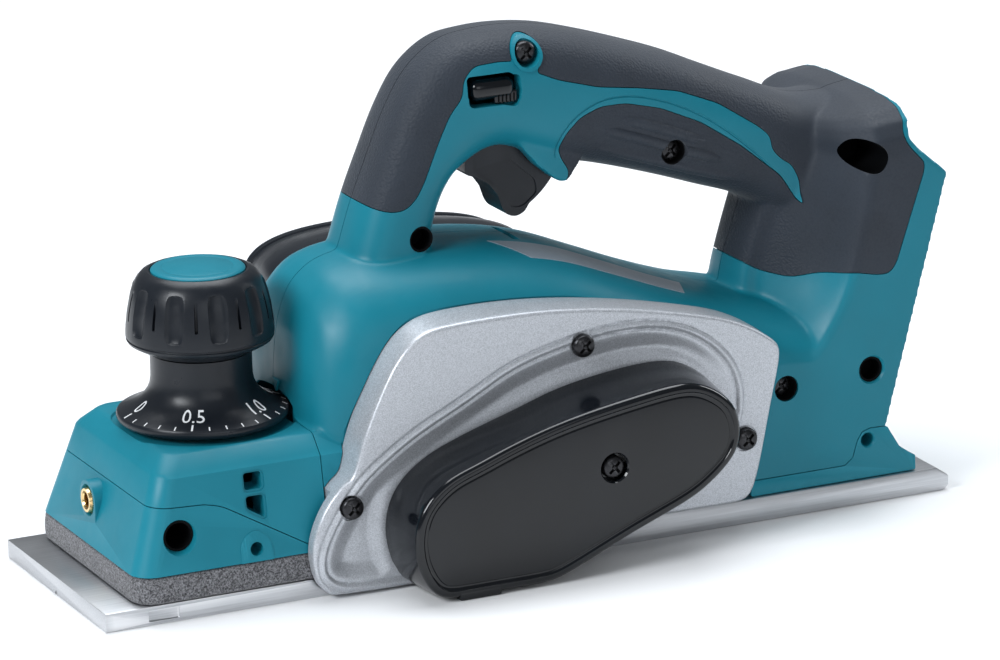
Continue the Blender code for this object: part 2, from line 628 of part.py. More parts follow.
def build_front_housing():
    """Front housing above the front sole, in an upper and a lower moulding."""
    inside = slab("block_inside", [(-128, 5), (-74.5, 5), (-74.5, 45.5), (-117.5, 45.5)], -29, 29)
    block = cut(front_block(0, 14.8), inside)
    block = cut(block, rod("stud_hole", (KNOB_X, 0, 30), (KNOB_X, 0, 60), 6.0),
                along_y("fence_hole", (-119.3, 25.9), -60, -30, 4.9, 20),
                along_y("pad_hole", (-94.0, 18.6), -60, -33, 2.0, 12),
                box("vent_top", (-96.6, -60, 36.4), (-91.0, -20, 41.4)),
                slab("vent_low", [(-96.4, 31.0), (-91.0, 27.6), (-91.0, 34.3), (-96.4, 34.3)], -60, -20),
                rod("insert_hole", (-140, *INSERT_CENTRE), (-120, *INSERT_CENTRE), 4.3, 16))
    seam = [(-150, 36.2), (-110.5, 34.4), (-105.0, 33.2), (-71.0, 13.6)]
    upper = copy_of(block, "upper")
    upper = cut(upper, slab("below", [(-150, 0), (-60, 0), (-60, 7), *reversed(seam)], -70, 70))
    above = [(x, z - GAP) for x, z in seam] + [(-60, 7), (-60, 80), (-150, 80)]
    lower = cut(block, slab("above", above, -70, 70))
    named(upper, "front_housing_upper", "teal")
    named(lower, "front_housing_lower", "teal")
    insert = rod("brass_insert", (-132.6, *INSERT_CENTRE), (-121.0, *INSERT_CENTRE), 4.0, 16)
    insert = cut(insert, rod("thread", (-140, *INSERT_CENTRE), (-122.5, *INSERT_CENTRE), 2.4, 16))
    named(insert, "brass_insert", "brass")


def build_soles():
    """Rear sole fixed to the tool; front sole with its boss on the depth knob's axis."""
    rear = slab("rear_base", [(-15.5, 0), (142.9, 0), (144.9, 0.8), (144.9, 4.6), (139.9, REAR_SOLE_THICK),
                              (-3.5, REAR_SOLE_THICK)], -HALF_SOLE, HALF_SOLE)
    rear = cut(rear, box("foot_slot", (109, 14, -2), (141, 28, 20)))
    named(rear, "rear_base", "sole")

    front = slab("front_base", [(-145, 0), (-36, 0), (-43.6, FRONT_SOLE_THICK), (-145, FRONT_SOLE_THICK)],
                 -HALF_SOLE, HALF_SOLE)
    groove = loft("groove", [[(x, -1.6, -0.4), (x, 1.6, -0.4), (x, 0, 1.7)] for x in (-150, -30)])
    front = cut(front, groove, box("mark", (-131, -45, 1.2), (-121, -HALF_SOLE + 0.5, 4.8)))
    front = join(front, rod("boss", (KNOB_X, 0, 4), (KNOB_X, 0, 13), 12.0))
    front = cut(front, rod("boss_bore", (KNOB_X, 0, 3), (KNOB_X, 0, 20), 5.6))
    named(front, "front_base", "sole")

    rings = [[(x, y) for x, y, _ in block_ring(0, front_x, half, radius)] for front_x, half, radius in
             ((-134.2, 41.4, 7.0), (-126.5, 34.0, 4.0))]
    rings[1][0] = (-77.0, rings[1][0][1])
    rings[1][-1] = (-77.0, rings[1][-1][1])
    seal = loft("foam_seal", [[(x, y, z) for x, y in rings[0]] for z in (6.3, 14.5)])
    seal = cut(seal, loft("seal_hole", [[(x, y, z) for x, y in rings[1]] for z in (0, 20)]))
    named(seal, "foam_seal", "foam")


def build_depth_knob():
    """Knob head, flared dial, cap disc, threaded stud and the spring round the stud."""
    centre = (KNOB_X, 0)
    head = turned("knob_head", [(0, 96.2), (15.2, 96.2), (15.4, 96.9), (17.6, 96.0), (20.4, 92.2),
                                (22.2, 85.0), (22.9, 79.0), (22.5, 76.2), (20.4, 74.0), (15.9, 71.4),
                                (0, 71.4)], centre, 30)
    for i in range(10):
        angle = math.radians(-97 + 36 * i)
        outwards = Vector((math.cos(angle), math.sin(angle), 0))
        base = Vector((KNOB_X, 0, 0)) + outwards * 27.6
        flute = rod("flute", (*base.xy, 80.0), (*(base - outwards * 2.5).xy, 95.5), 6.6, 12)
        head = cut(head, flute)
    head = cut(head, rod("stud_socket", (KNOB_X, 0, 60), (KNOB_X, 0, 92), 5.3, 16))
    named(head, "knob_head", "dark")
    dial = turned("knob_dial", [(0, 71.1), (15.7, 71.1), (15.7, 62.0), (17.0, 58.6), (21.0, 55.2),
                                (26.6, 52.8), (26.75, 51.6), (26.2, 50.1), (0, 50.1)], centre, 30)
    dial = cut(dial, rod("stud_bore", (KNOB_X, 0, 40), (KNOB_X, 0, 80), 5.3, 16))
    named(dial, "knob_dial", "dark")
    named(turned("knob_cap", [(0, 97.8), (13.4, 97.8), (14.6, 97.2), (14.6, 96.5), (0, 96.5)], centre, 32),
          "knob_cap", "teal")
    named(rod("adjusting_stud", (KNOB_X, 0, 8.6), (KNOB_X, 0, 91.5), 5.0, 20), "adjusting_stud", "steel")

    turns, low, high, per_turn = 4, 14.6, 43.4, 10
    coil = bpy.data.curves.new("knob_spring", "CURVE")
    coil.dimensions = "3D"
    coil.bevel_depth = 1.0 * MM
    coil.bevel_resolution = 1
    coil.use_fill_caps = True
    wire = coil.splines.new("POLY")
    count = turns * per_turn
    wire.points.add(count)
    for i, point in enumerate(wire.points):
        angle = 2 * math.pi * i / per_turn
        point.co = ((KNOB_X + 8.0 * math.cos(angle)) * MM, 8.0 * math.sin(angle) * MM,
                    (low + (high - low) * i / count) * MM, 1)
    spring = bpy.data.objects.new("knob_spring", coil)
    PARTS.objects.link(spring)
    named(freeze(spring), "knob_spring", "steel")


def build_drum():
    """Cutter drum with two clamped blades, its shaft, bearings and pulley."""
    x, z = DRUM_AXIS
    drum = join(along_y("cutter_drum", DRUM_AXIS, -41.0, 41.0, DRUM_RADIUS, 36),
                along_y("shaft", DRUM_AXIS, -63.0, 48.5, 5.0, 20))
    for side in (1, -1):
        pocket = box("pocket", (x - 9, -45, z + side * 11.0), (x + 9, 45, z + side * 30.0))
        drum = cut(drum, pocket)
    named(drum, "cutter_drum", "steel")
    for label, side in (("a", 1), ("b", -1)):
        edge = [(-8.6, 11.4), (-6.4, 11.4), (-1.0, 22.6), (-0.4, BLADE_CIRCLE - 0.1), (-1.8, 22.4)]
        blade = slab("blade", [(x + side * px, z + side * pz) for px, pz in edge], -40.8, 40.8)
        named(blade, "blade_" + label, "steel")
        bar = [(-5.4, 11.4), (8.6, 11.4), (8.6, 18.6), (5.0, 20.4), (-0.6, 21.2)]
        clamp = slab("clamp", [(x + side * px, z + side * pz) for px, pz in bar], -40.5, 40.5)
        named(clamp, "blade_clamp_" + label, "steel")
    for label, low, high in (("near", -48.5, -41.8), ("far", 41.6, 48.0)):
        named(ring_y("b", DRUM_AXIS, low, high, 11.0, 5.3), "drum_bearing_" + label, "steel")
    pulley = ring_y("drum_pulley", DRUM_AXIS, -61.0, -51.0, DRUM_PULLEY, 5.3, 32)
    named(pulley, "drum_pulley", "cast")
    cap = slab("far_cover", hull_of_circles(DRUM_AXIS, 26.8, (10, 34), 12), 36, 50.5)
    cap = cut(cap, hump_form(-GAP, -10), nozzle_form(-GAP, "nozzle_seat"),
              box("sole_room", (-90, 30, -10), (90, 41.4, REAR_SOLE_THICK + GAP)),
              box("floor_room", (-90, 30, -10), (90, 60, 1.0)),
              along_y("drum_room", DRUM_AXIS, 30, 41.9, 24.2, 32),
              along_y("seat", DRUM_AXIS, 30, 48.8, 11.3, 24))
    named(cap, "far_bearing_cover", "dark")


def build_motor():
    """Brushed motor lying across the tool behind the drum."""
    x, z = MOTOR_AXIS
    named(ring_y("can", MOTOR_AXIS, -22, 16, 25.2, 22.6, 28), "motor_can", "steel")
    named(along_y("shaft", MOTOR_AXIS, -63.0, 33.6, 4.0, 16), "motor_shaft", "steel")
    named(ring_y("core", MOTOR_AXIS, -17, 12, 16.0, 4.3, 24), "armature", "copper")
    named(ring_y("commutator", MOTOR_AXIS, 15, 24, 9.0, 4.3, 20), "commutator", "copper")
    fan = ring_y("fan", MOTOR_AXIS, -31.5, -29.5, 22.0, 4.3, 20)
    for i in range(7):
        angle = 2 * math.pi * i / 7
        centre = (x + 15.5 * math.cos(angle), z + 15.5 * math.sin(angle))
        blade = box("fan_blade", (-5.5, -30.0, -0.8), (5.5, -24.0, 0.8))
        blade.rotation_euler = (0, -angle, 0)
        blade.location = (centre[0] * MM, 0, centre[1] * MM)
        fan = join(fan, freeze(blade))
    named(fan, "motor_fan", "dark")
    named(ring_y("pulley", MOTOR_AXIS, -61.0, -51.0, MOTOR_PULLEY, 4.3, 24), "motor_pulley", "cast")
    named(ring_y("bearing", MOTOR_AXIS, -48.5, -36.4, 11.0, 4.3), "motor_bearing_near", "steel")
    named(ring_y("bearing", MOTOR_AXIS, 27.0, 33.0, 9.5, 4.3, 20), "motor_bearing_far", "steel")
    for label, side in (("front", -1), ("rear", 1)):
        low, high = sorted((x + side * 9.5, x + side * 21.0))
        holder = box("brush", (low, 16.4, z - 3.5), (high, 23.4, z + 3.5), 0.6)
        named(holder, "brush_holder_" + label, "brass")


def build_controls():
    """Trigger, its pivot pin, the switch behind it and the lock-off button."""
    pivot = TRIGGER_PIVOT
    outline = [(-7.2, 116.4), (-3.2, 114.0), (0.9, 110.9), (4.0, 107.0), (5.6, 103.2), (7.6, 101.3),
               (10.4, 100.7), (13.2, 101.9)]
    outline += arc(pivot, 30.6, -57, -36, 4)
    outline += [(21.6, 115.0), (16.0, 127.0), (2.6, 133.6), (-3.0, 134.4), (-6.4, 131.6)]
    trigger = slab("trigger", outline, -7.6, 7.6)
    edge = trigger.modifiers.new("edge", "BEVEL")
    edge.width = 1.2 * MM
    edge.segments = 1
    edge.limit_method = "ANGLE"
    edge.angle_limit = math.radians(60)
    trigger = cut(freeze(trigger), along_y("pin_bore", pivot, -10, 10, 2.25, 16))
    named(trigger, "trigger", "dark")
    named(along_y("trigger_pin", pivot, -12.5, 12.5, 1.95, 16), "trigger_pin", "steel")
    named(box("switch_body", (20.0, -8.5, 127.0), (40.0, 8.5, 146.6), 1.0), "switch_body", "dark")
    x, z = LOCK_CENTRE
    button = box("lock_button", (x - 7.9, -17.6, z - 3.9), (x + 7.9, 17.6, z + 3.9), 1.5)
    named(button, "lock_button", "gloss")


def build_rear_fittings():
    """Battery terminal block, label strip and the parking foot under the rear sole."""
    def across(z, off):
        return (cheek_x(z) - DOCK_DEPTH + off, z)
    outline = [across(84, 0.3), across(84, 7.0), across(112, 7.0), across(116, 0.3)]
    block = slab("terminal_block", outline, -15, 15)
    slot = [across(80, 3.6), across(80, 9.0), across(108, 9.0), across(108, 3.6)]
    for y in (-8.5, 8.5):
        block = cut(block, slab("blade_slot", slot, y - 1.4, y + 1.4))
    named(block, "terminal_block", "dark")

    x, z = FOOT_PIVOT
    outline = [(x - 4, z - 3.6), (x - 2, 4.0), (x + 3, 1.0), (x + 19, 0.6), (x + 21, 1.6), (x + 20, 4.6),
               (x + 9, 7.0), (x + 4, z + 3.0), (x, z + 4.2), (x - 4, z + 2.6)]
    foot = slab("parking_foot", outline, 14.8, 27.2)
    foot = cut(foot, along_y("pin_bore", FOOT_PIVOT, 8, 34, 2.15, 16))
    named(foot, "parking_foot", "dark")
    named(along_y("foot_pin", FOOT_PIVOT, 9.4, 32.6, 2.05, 16), "foot_pin", "steel")


# Moving bodies: name, joint axis point in mm, pieces
MOVING = {
    "knob_axis": ((KNOB_X, 0, 60), ("knob_head", "knob_dial", "knob_cap", "adjusting_stud")),
    "front_base_axis": ((KNOB_X, 0, 6), ("front_base",)),
    "drum_axis": ((DRUM_AXIS[0], 0, DRUM_AXIS[1]), ("cutter_drum", "blade_a", "blade_b", "blade_clamp_a",
                                                    "blade_clamp_b", "drum_pulley")),
    "motor_axis": ((MOTOR_AXIS[0], 0, MOTOR_AXIS[1]), ("motor_shaft", "armature", "commutator", "motor_fan",
                                                       "motor_pulley")),
    "trigger_axis": ((TRIGGER_PIVOT[0], 0, TRIGGER_PIVOT[1]), ("trigger",)),
    "lock_axis": ((LOCK_CENTRE[0], 0, LOCK_CENTRE[1]), ("lock_button",)),
    "foot_axis": ((FOOT_PIVOT[0], 21, FOOT_PIVOT[1]), ("parking_foot",)),
}


def hang_on_axes():
    """Put each moving piece under an empty that stands on its joint axis."""
    for name, (place, pieces) in MOVING.items():
        axis = bpy.data.objects.new(name, None)
        axis.location = Vector(place) * MM
        axis.empty_display_size = 0.01
        PARTS.objects.link(axis)
        for piece_name in pieces:
            piece = bpy.data.objects[piece_name]
            piece.data.transform(Matrix.Translation(-axis.location))
            piece.parent = axis


clear_scene()
PARTS = collection("electric_hand_planer")
build_soles()
build_front_housing()
build_depth_knob()
build_housing()
build_lower_cover()
build_side_plate()
build_belt_drive()
build_chip_nozzle()
build_drum()
build_motor()
build_controls()
build_rear_fittings()
for screws in (HOUSING_SCREWS, PLATE_SCREWS):
    for screw_name, (screw_axis, screw_y, screw_length) in screws.items():
        screw(screw_name, screw_axis, screw_y, screw_length)
screw("cover_screw", *COVER_SCREW, 3.6)
hang_on_axes()
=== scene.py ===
"""Looks of the battery electric hand planer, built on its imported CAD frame.

Lengths in this file are millimetres unless a name ends in _M; meshes are written in metres.
-X is the front of the tool, -Y the belt cover side, +Z up, with the sole's underside at Z = 0.
"""
import math

import bmesh
import bpy
import numpy as np
from mathutils import Matrix, Vector
from mathutils.bvhtree import BVHTree


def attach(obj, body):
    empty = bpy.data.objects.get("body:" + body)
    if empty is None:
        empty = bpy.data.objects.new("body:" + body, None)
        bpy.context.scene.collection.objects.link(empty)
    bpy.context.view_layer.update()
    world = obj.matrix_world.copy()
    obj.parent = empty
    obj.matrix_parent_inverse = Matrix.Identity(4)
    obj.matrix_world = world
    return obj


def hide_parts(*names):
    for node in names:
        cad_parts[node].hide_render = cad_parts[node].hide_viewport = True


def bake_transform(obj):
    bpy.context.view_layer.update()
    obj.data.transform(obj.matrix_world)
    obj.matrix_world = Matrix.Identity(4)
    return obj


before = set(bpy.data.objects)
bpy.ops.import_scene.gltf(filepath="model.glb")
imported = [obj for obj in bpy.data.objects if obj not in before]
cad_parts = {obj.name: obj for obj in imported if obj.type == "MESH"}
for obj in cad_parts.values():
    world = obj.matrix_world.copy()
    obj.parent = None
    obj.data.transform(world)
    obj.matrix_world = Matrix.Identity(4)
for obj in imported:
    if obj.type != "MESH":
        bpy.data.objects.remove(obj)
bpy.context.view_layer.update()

MM = 0.001
SEAM = 0.15                       # half the gap left along a part line

# Driving sizes, the same as the CAD part's
HALF_SOLE = 41.0
DRUM_AXIS = (-24.5, 23.5)
MOTOR_AXIS = (36.0, 40.0)
KNOB_X = -94.4
TRIGGER_PIVOT = (-2.0, 130.0)
LOCK_CENTRE = (-1.2, 144.6)
PLATE_FACE = -46.0
CASING_HALF = 40.0
HANDLE_SQUARENESS = 2.8           # superellipse exponent of the handle's section
BLOCK_REAR = -71.0
SIDE_HOLE = (117.7, 43.7)
LEG_HOLE = (-26.8, 100.7)
FENCE_HOLE = (-119.3, 25.9)
INSERT_Y = 4.2
INSERT_Z = 27.3
FOOT_PIN = (118.0, 15.5)
COVER_PIN = (116.2, 20.7)
DOCK_DEPTH = 17.5
DOCK_HALF = 31.0
CHEEK_LOW = (118.9, 9.6)
CHEEK_HIGH = (145.3, 104.8)
CHEEK_LEAN = (CHEEK_HIGH[0] - CHEEK_LOW[0]) / (CHEEK_HIGH[1] - CHEEK_LOW[1])


# ---------------------------------------------------------------- mesh helpers

def link(item):
    bpy.context.scene.collection.objects.link(item)
    return item


def from_bmesh(name, work):
    """Object from a bmesh in millimetres."""
    bmesh.ops.scale(work, vec=(MM, MM, MM), verts=work.verts)
    bmesh.ops.recalc_face_normals(work, faces=work.faces)
    mesh = bpy.data.meshes.new(name)
    work.to_mesh(mesh)
    work.free()
    return link(bpy.data.objects.new(name, mesh))


def freeze(item):
    """Apply an object's modifiers and transform."""
    bpy.context.view_layer.update()
    ready = item.evaluated_get(bpy.context.evaluated_depsgraph_get())
    mesh = bpy.data.meshes.new_from_object(ready)
    mesh.transform(item.matrix_world)
    old = item.data
    item.modifiers.clear()
    item.data = mesh
    item.matrix_world = Matrix.Identity(4)
    if hasattr(old, "polygons") and old.users == 0:
        bpy.data.meshes.remove(old)
    return item


def modify(item, kind, **settings):
    step = item.modifiers.new(kind.lower(), kind)
    for key, value in settings.items():
        setattr(step, key, value)
    return freeze(item)


def boolean(item, other, operation="DIFFERENCE", keep=False):
    item = modify(item, "BOOLEAN", operation=operation, object=other, solver="MANIFOLD")
    if not keep:
        bpy.data.objects.remove(other, do_unlink=True)
    return item


def cut(item, *others, keep=False):
    for other in others:
        item = boolean(item, other, keep=keep)
    return item


def join(item, *others):
    for other in others:
        item = boolean(item, other, "UNION")
    return item


def common(item, other, keep=False):
    return boolean(item, other, "INTERSECT", keep)


def twin(item, name):
    other = item.copy()
    other.data = item.data.copy()
    other.name = name
    return link(other)


def merge(name, items):
    """One object holding several meshes side by side."""
    work = bmesh.new()
    for item in items:
        item.data.transform(item.matrix_world)
        work.from_mesh(item.data)
        bpy.data.objects.remove(item, do_unlink=True)
    mesh = bpy.data.meshes.new(name)
    work.to_mesh(mesh)
    work.free()
    return link(bpy.data.objects.new(name, mesh))


def remesh(item, voxel, passes, factor=0.5):
    """Melt overlapping solids into one skin and soften its creases."""
    item = modify(item, "REMESH", mode="VOXEL", voxel_size=voxel * MM)
    if passes:
        item = modify(item, "SMOOTH", factor=factor, iterations=passes)
    return item


def soften(item, width, segments=3, angle=35.0):
    """Round every edge sharper than an angle."""
    return modify(item, "BEVEL", width=width * MM, segments=segments, limit_method="ANGLE",
                  angle_limit=math.radians(angle), use_clamp_overlap=True, harden_normals=False)


def tidy(item, distance=0.002):
    """Weld the slivers a cut leaves behind."""
    work = bmesh.new()
    work.from_mesh(item.data)
    bmesh.ops.dissolve_degenerate(work, edges=work.edges, dist=distance * MM)
    work.to_mesh(item.data)
    work.free()
    return item


# ---------------------------------------------------------------- outlines in the X, Z plane

def arc(centre, radius, start, end, steps):
    points = []
    for i in range(steps + 1):
        a = math.radians(start + (end - start) * i / steps)
        points.append((centre[0] + radius * math.cos(a), centre[1] + radius * math.sin(a)))
    return points


def catmull(points, steps, closed=True):
    """Smooth curve through points, with steps spans between each pair."""
    pts = np.array(points, float)
    n = len(pts)
    out = []
    for i in range(n if closed else n - 1):
        if closed:
            p0, p1, p2, p3 = (pts[(i + k) % n] for k in (-1, 0, 1, 2))
        else:
            p0, p1, p2, p3 = (pts[min(max(i + k, 0), n - 1)] for k in (-1, 0, 1, 2))
        for s in range(steps):
            t = s / steps
            out.append(0.5 * (2 * p1 + (p2 - p0) * t + (2 * p0 - 5 * p1 + 4 * p2 - p3) * t ** 2
                              + (3 * p1 - p0 - 3 * p2 + p3) * t ** 3))
    if not closed:
        out.append(pts[-1])
    return [tuple(p) for p in out]


def rounded(outline, radius, steps=5):
    """Outline with its corners rounded; radius is one number or one for each corner."""
    n = len(outline)
    radii = radius if isinstance(radius, (list, tuple)) else [radius] * n
    out = []
    for i in range(n):
        a, b, c = (Vector(outline[(i + k) % n]) for k in (-1, 0, 1))
        u, v = (a - b), (c - b)
        reach = min(radii[i], u.length * 0.49, v.length * 0.49)
        if reach < 0.01:
            out.append(tuple(b))
            continue
        start, end = b + u.normalized() * reach, b + v.normalized() * reach
        for s in range(steps + 1):
            t = s / steps
            out.append(tuple(start * (1 - t) ** 2 + b * 2 * t * (1 - t) + end * t ** 2))
    return out


def resample(outline, spacing):
    """Closed outline with points at an even spacing."""
    pts = np.array(outline, float)
    loop = np.vstack([pts, pts[:1]])
    steps = np.hypot(*np.diff(loop, axis=0).T)
    along = np.concatenate([[0], np.cumsum(steps)])
    count = max(8, int(round(along[-1] / spacing)))
    at = np.linspace(0, along[-1], count, endpoint=False)
    return list(zip(np.interp(at, along, loop[:, 0]), np.interp(at, along, loop[:, 1])))


def inset(outline, amount):
    """Move an anticlockwise outline inwards by amount, or by one amount for each point."""
    pts = np.array(outline, float)
    before, after = np.roll(pts, 1, 0), np.roll(pts, -1, 0)
    first = (pts - before) / np.maximum(np.linalg.norm(pts - before, axis=1, keepdims=True), 1e-9)
    second = (after - pts) / np.maximum(np.linalg.norm(after - pts, axis=1, keepdims=True), 1e-9)
    n1 = np.stack([-first[:, 1], first[:, 0]], 1)
    n2 = np.stack([-second[:, 1], second[:, 0]], 1)
    normal = n1 + n2
    normal /= np.maximum(np.linalg.norm(normal, axis=1, keepdims=True), 1e-9)
    spread = np.maximum(0.5, (normal * n1).sum(1))
    return [tuple(p) for p in pts + normal * (np.asarray(amount) / spread)[..., None]]


def clean_inset(outline, amount):
    """Inset by one amount, with the loops it makes in tight corners pulled straight."""
    ring = np.array(inset(outline, amount))
    good = np.flatnonzero(outline_distance(ring[:, 0], ring[:, 1], outline) > 0.96 * amount - 0.01)
    index = np.arange(len(ring))
    around = np.concatenate([good - len(ring), good, good + len(ring)])
    return list(zip(*(np.interp(index, around, np.tile(ring[good, k], 3)) for k in (0, 1))))


def smoothed(rows, passes):
    """Closed list of rows of numbers, averaged with their neighbours."""
    table = np.array(rows, float)
    for _ in range(passes):
        table = table * 0.5 + (np.roll(table, 1, 0) + np.roll(table, -1, 0)) * 0.25
    return [tuple(row) for row in table]


def outline_distance(x, z, outline):
    """Signed distance of points to a closed outline, positive inside."""
    pts = np.array(outline, float)
    nxt = np.roll(pts, -1, 0)
    best = np.full(x.shape, 1e9)
    inside = np.zeros(x.shape, bool)
    for (ax, az), (bx, bz) in zip(pts, nxt):
        ex, ez = bx - ax, bz - az
        t = np.clip(((x - ax) * ex + (z - az) * ez) / max(ex * ex + ez * ez, 1e-12), 0, 1)
        best = np.minimum(best, np.hypot(x - ax - t * ex, z - az - t * ez))
        if abs(ez) > 1e-12:
            inside ^= ((az > z) != (bz > z)) & (x < ax + (z - az) * ex / ez)
    return np.where(inside, best, -best)


# ---------------------------------------------------------------- solids

def slab(name, outline, y_near, y_far):
    """Flat solid from an (X, Z) outline between two Y planes."""
    n = len(outline)
    verts = [(x, y_near, z) for x, z in outline] + [(x, y_far, z) for x, z in outline]
    faces = [(i, (i + 1) % n, n + (i + 1) % n, n + i) for i in range(n)]
    faces += [tuple(range(n)), tuple(range(n, 2 * n))]
    work = bmesh.new()
    points = [work.verts.new(v) for v in verts]
    for face in faces:
        work.faces.new([points[i] for i in face])
    bmesh.ops.triangulate(work, faces=[f for f in work.faces if len(f.verts) > 4])
    return from_bmesh(name, work)


def loft(name, rings):
    """Closed skin through rings of equal point count, capped at both ends."""
    work = bmesh.new()
    levels = [[work.verts.new(point) for point in ring] for ring in rings]
    count = len(rings[0])
    for lower, upper in zip(levels, levels[1:]):
        for i in range(count):
            j = (i + 1) % count
            work.faces.new((lower[i], lower[j], upper[j], upper[i]))
    caps = [work.faces.new(levels[0]), work.faces.new(levels[-1])]
    bmesh.ops.triangulate(work, faces=caps)
    return from_bmesh(name, work)


def box(name, low, high, bevel=0.0):
    work = bmesh.new()
    bmesh.ops.create_cube(work, size=1)
    bmesh.ops.scale(work, vec=[b - a for a, b in zip(low, high)], verts=work.verts)
    bmesh.ops.translate(work, vec=[(a + b) / 2 for a, b in zip(low, high)], verts=work.verts)
    item = from_bmesh(name, work)
    if bevel:
        item = modify(item, "BEVEL", width=bevel * MM, segments=4)
    return item


def rod(name, start, end, radius, sides=48, end_radius=None):
    start, end = Vector(start), Vector(end)
    work = bmesh.new()
    bmesh.ops.create_cone(work, cap_ends=True, segments=sides, radius1=radius,
                          radius2=radius if end_radius is None else end_radius, depth=(end - start).length)
    turn = (end - start).to_track_quat("Z", "Y").to_matrix().to_4x4()
    bmesh.ops.transform(work, matrix=Matrix.Translation((start + end) / 2) @ turn, verts=work.verts)
    return from_bmesh(name, work)


def along_y(name, axis, y_near, y_far, radius, sides=48, end_radius=None):
    return rod(name, (axis[0], y_near, axis[1]), (axis[0], y_far, axis[1]), radius, sides, end_radius)


def revolve(name, profile, centre, steps=96, axis="Z"):
    """Solid of revolution from (radius, height) points, its first and last on the axis or joined up."""
    rings = []
    for radius, height in profile:
        ring = []
        for i in range(steps):
            a = 2 * math.pi * i / steps
            u, v = max(radius, 0.0) * math.cos(a), max(radius, 0.0) * math.sin(a)
            ring.append((centre[0] + u, centre[1] + v, height) if axis == "Z"
                        else (centre[0] + u, height, centre[1] + v))
        rings.append(ring)
    work = bmesh.new()
    levels = []
    for (radius, _), ring in zip(profile, rings):
        if radius <= 0:
            middle = [sum(c) / steps for c in zip(*ring)]
            levels.append([work.verts.new(middle)] * steps)
        else:
            levels.append([work.verts.new(p) for p in ring])
    closed = profile[0][0] > 0 and profile[-1][0] > 0
    pairs = list(zip(levels, levels[1:]))
    if closed:
        pairs.append((levels[-1], levels[0]))
    for lower, upper in pairs:
        for i in range(steps):
            j = (i + 1) % steps
            corners = []
            for v in (lower[i], lower[j], upper[j], upper[i]):
                if v not in corners:
                    corners.append(v)
            if len(corners) > 2:
                work.faces.new(corners)
    return from_bmesh(name, work)


def tube(name, path, radius, sides=10):
    """Round bar that follows a list of points, with rounded ends."""
    pts = [Vector(p) for p in path]
    rings = []
    up = Vector((0, 0, 1))
    for i, p in enumerate(pts):
        ahead = (pts[min(i + 1, len(pts) - 1)] - pts[max(i - 1, 0)]).normalized()
        side = ahead.cross(up)
        if side.length < 1e-3:
            side = ahead.cross(Vector((1, 0, 0)))
        side.normalize()
        other = side.cross(ahead)
        r = radius if 0 < i < len(pts) - 1 else radius * 0.35
        rings.append([p + side * (r * math.cos(2 * math.pi * k / sides))
                      + other * (r * math.sin(2 * math.pi * k / sides)) for k in range(sides)])
    return loft(name, rings)


# ---------------------------------------------------------------- master forms of the casing

# Handle: front/top point, rear/under point (X, Z) and half width, from the front pillar's foot
HANDLE_SECTIONS = [
    ((-58, 66), (-20.2, 66), 19.6), ((-52.6, 83.5), (-20.8, 84), 18),
    ((-47.6, 98), (-19.6, 99.5), 17.2), ((-43.1, 111.3), (-16.6, 110), 16.8),
    ((-37.6, 124.5), (-12, 117.5), 16.8), ((-31.2, 139), (-6, 121.6), 17),
    ((-23.5, 151), (-1, 123.6), 17.4), ((-12.8, 158.8), (3.5, 124.2), 17.8),
    ((-1, 160.9), (8.5, 123), 18), ((10.5, 161), (15.5, 120), 18), ((23, 159.4), (24, 117), 18.2),
    ((37, 155.6), (35, 114.6), 18.4), ((51, 151), (47, 111.2), 18.6), ((65, 145.9), (60, 107), 18.6),
    ((79, 139.6), (73, 102.4), 18.4), ((94, 133), (88, 97), 18.6), ((110, 126.8), (104, 88), 19.2),
    ((130, 126.4), (122, 90), 21),
]
# Motor hump: X, top Z, shoulder Z, half width
HUMP_SECTIONS = [
    (-70.7, 58, 40, 16), (-70, 68, 41, 22.5), (-68.6, 77.5, 42.5, 28), (-66, 84.8, 45, 31.6),
    (-62.4, 90, 50, 33.6), (-55, 94.8, 60, 35.5), (-42, 97, 68, 36), (-20, 97.4, 72, 36.5),
    (0, 95.8, 70, 37), (18, 91.8, 66, 38), (36, 84.6, 61, 39), (54, 77, 57, 39.4), (72, 70.4, 53, 39.5),
    (84, 67.4, 50, 39.6), (98, 64, 48.5, 39.6), (112, 62, 48, 39.6),
]
# Rear column: Z, front X, front half width, X where the flat sides start
COLUMN_SECTIONS = [
    (40, 81, 24, 93), (48, 82, 20, 95), (56, 83, 17, 102), (66, 83.5, 14.5, 108.2),
    (76, 85.4, 13.5, 112.4), (90, 90, 14, 116), (104, 96, 16, 119), (112, 99.6, 16.8, 121),
]
# Crown of the column: share of its height, share of its width
CROWN = [(0.36, 0.99), (0.66, 0.92), (0.86, 0.78), (0.96, 0.58), (1.0, 0.28)]
# Side plate outline (X, Z), anticlockwise from its low rear corner, and the radius of each corner
PLATE_OUTLINE = [
    (72, 11), (78.1, 38), (82.3, 55.3), (80, 60.6), (67.8, 68.2), (53.9, 72.4), (36.7, 76.4),
    (19.5, 79.3), (2.5, 81.1), (-14.4, 81.6), (-31.3, 81.2), (-39, 80), (-45.6, 76), (-51, 69),
    (-55.6, 60), (-60.5, 49.4), (-64.2, 37.7), (-68, 35.6), (-72.9, 30.6), (-76.9, 23.3), (-78.8, 15.7),
    (-77.5, 6.8), (-73.5, 2.2), (-68, 0.9), (-20, 0.9), (-12, 8.6), (60, 9.4),
]
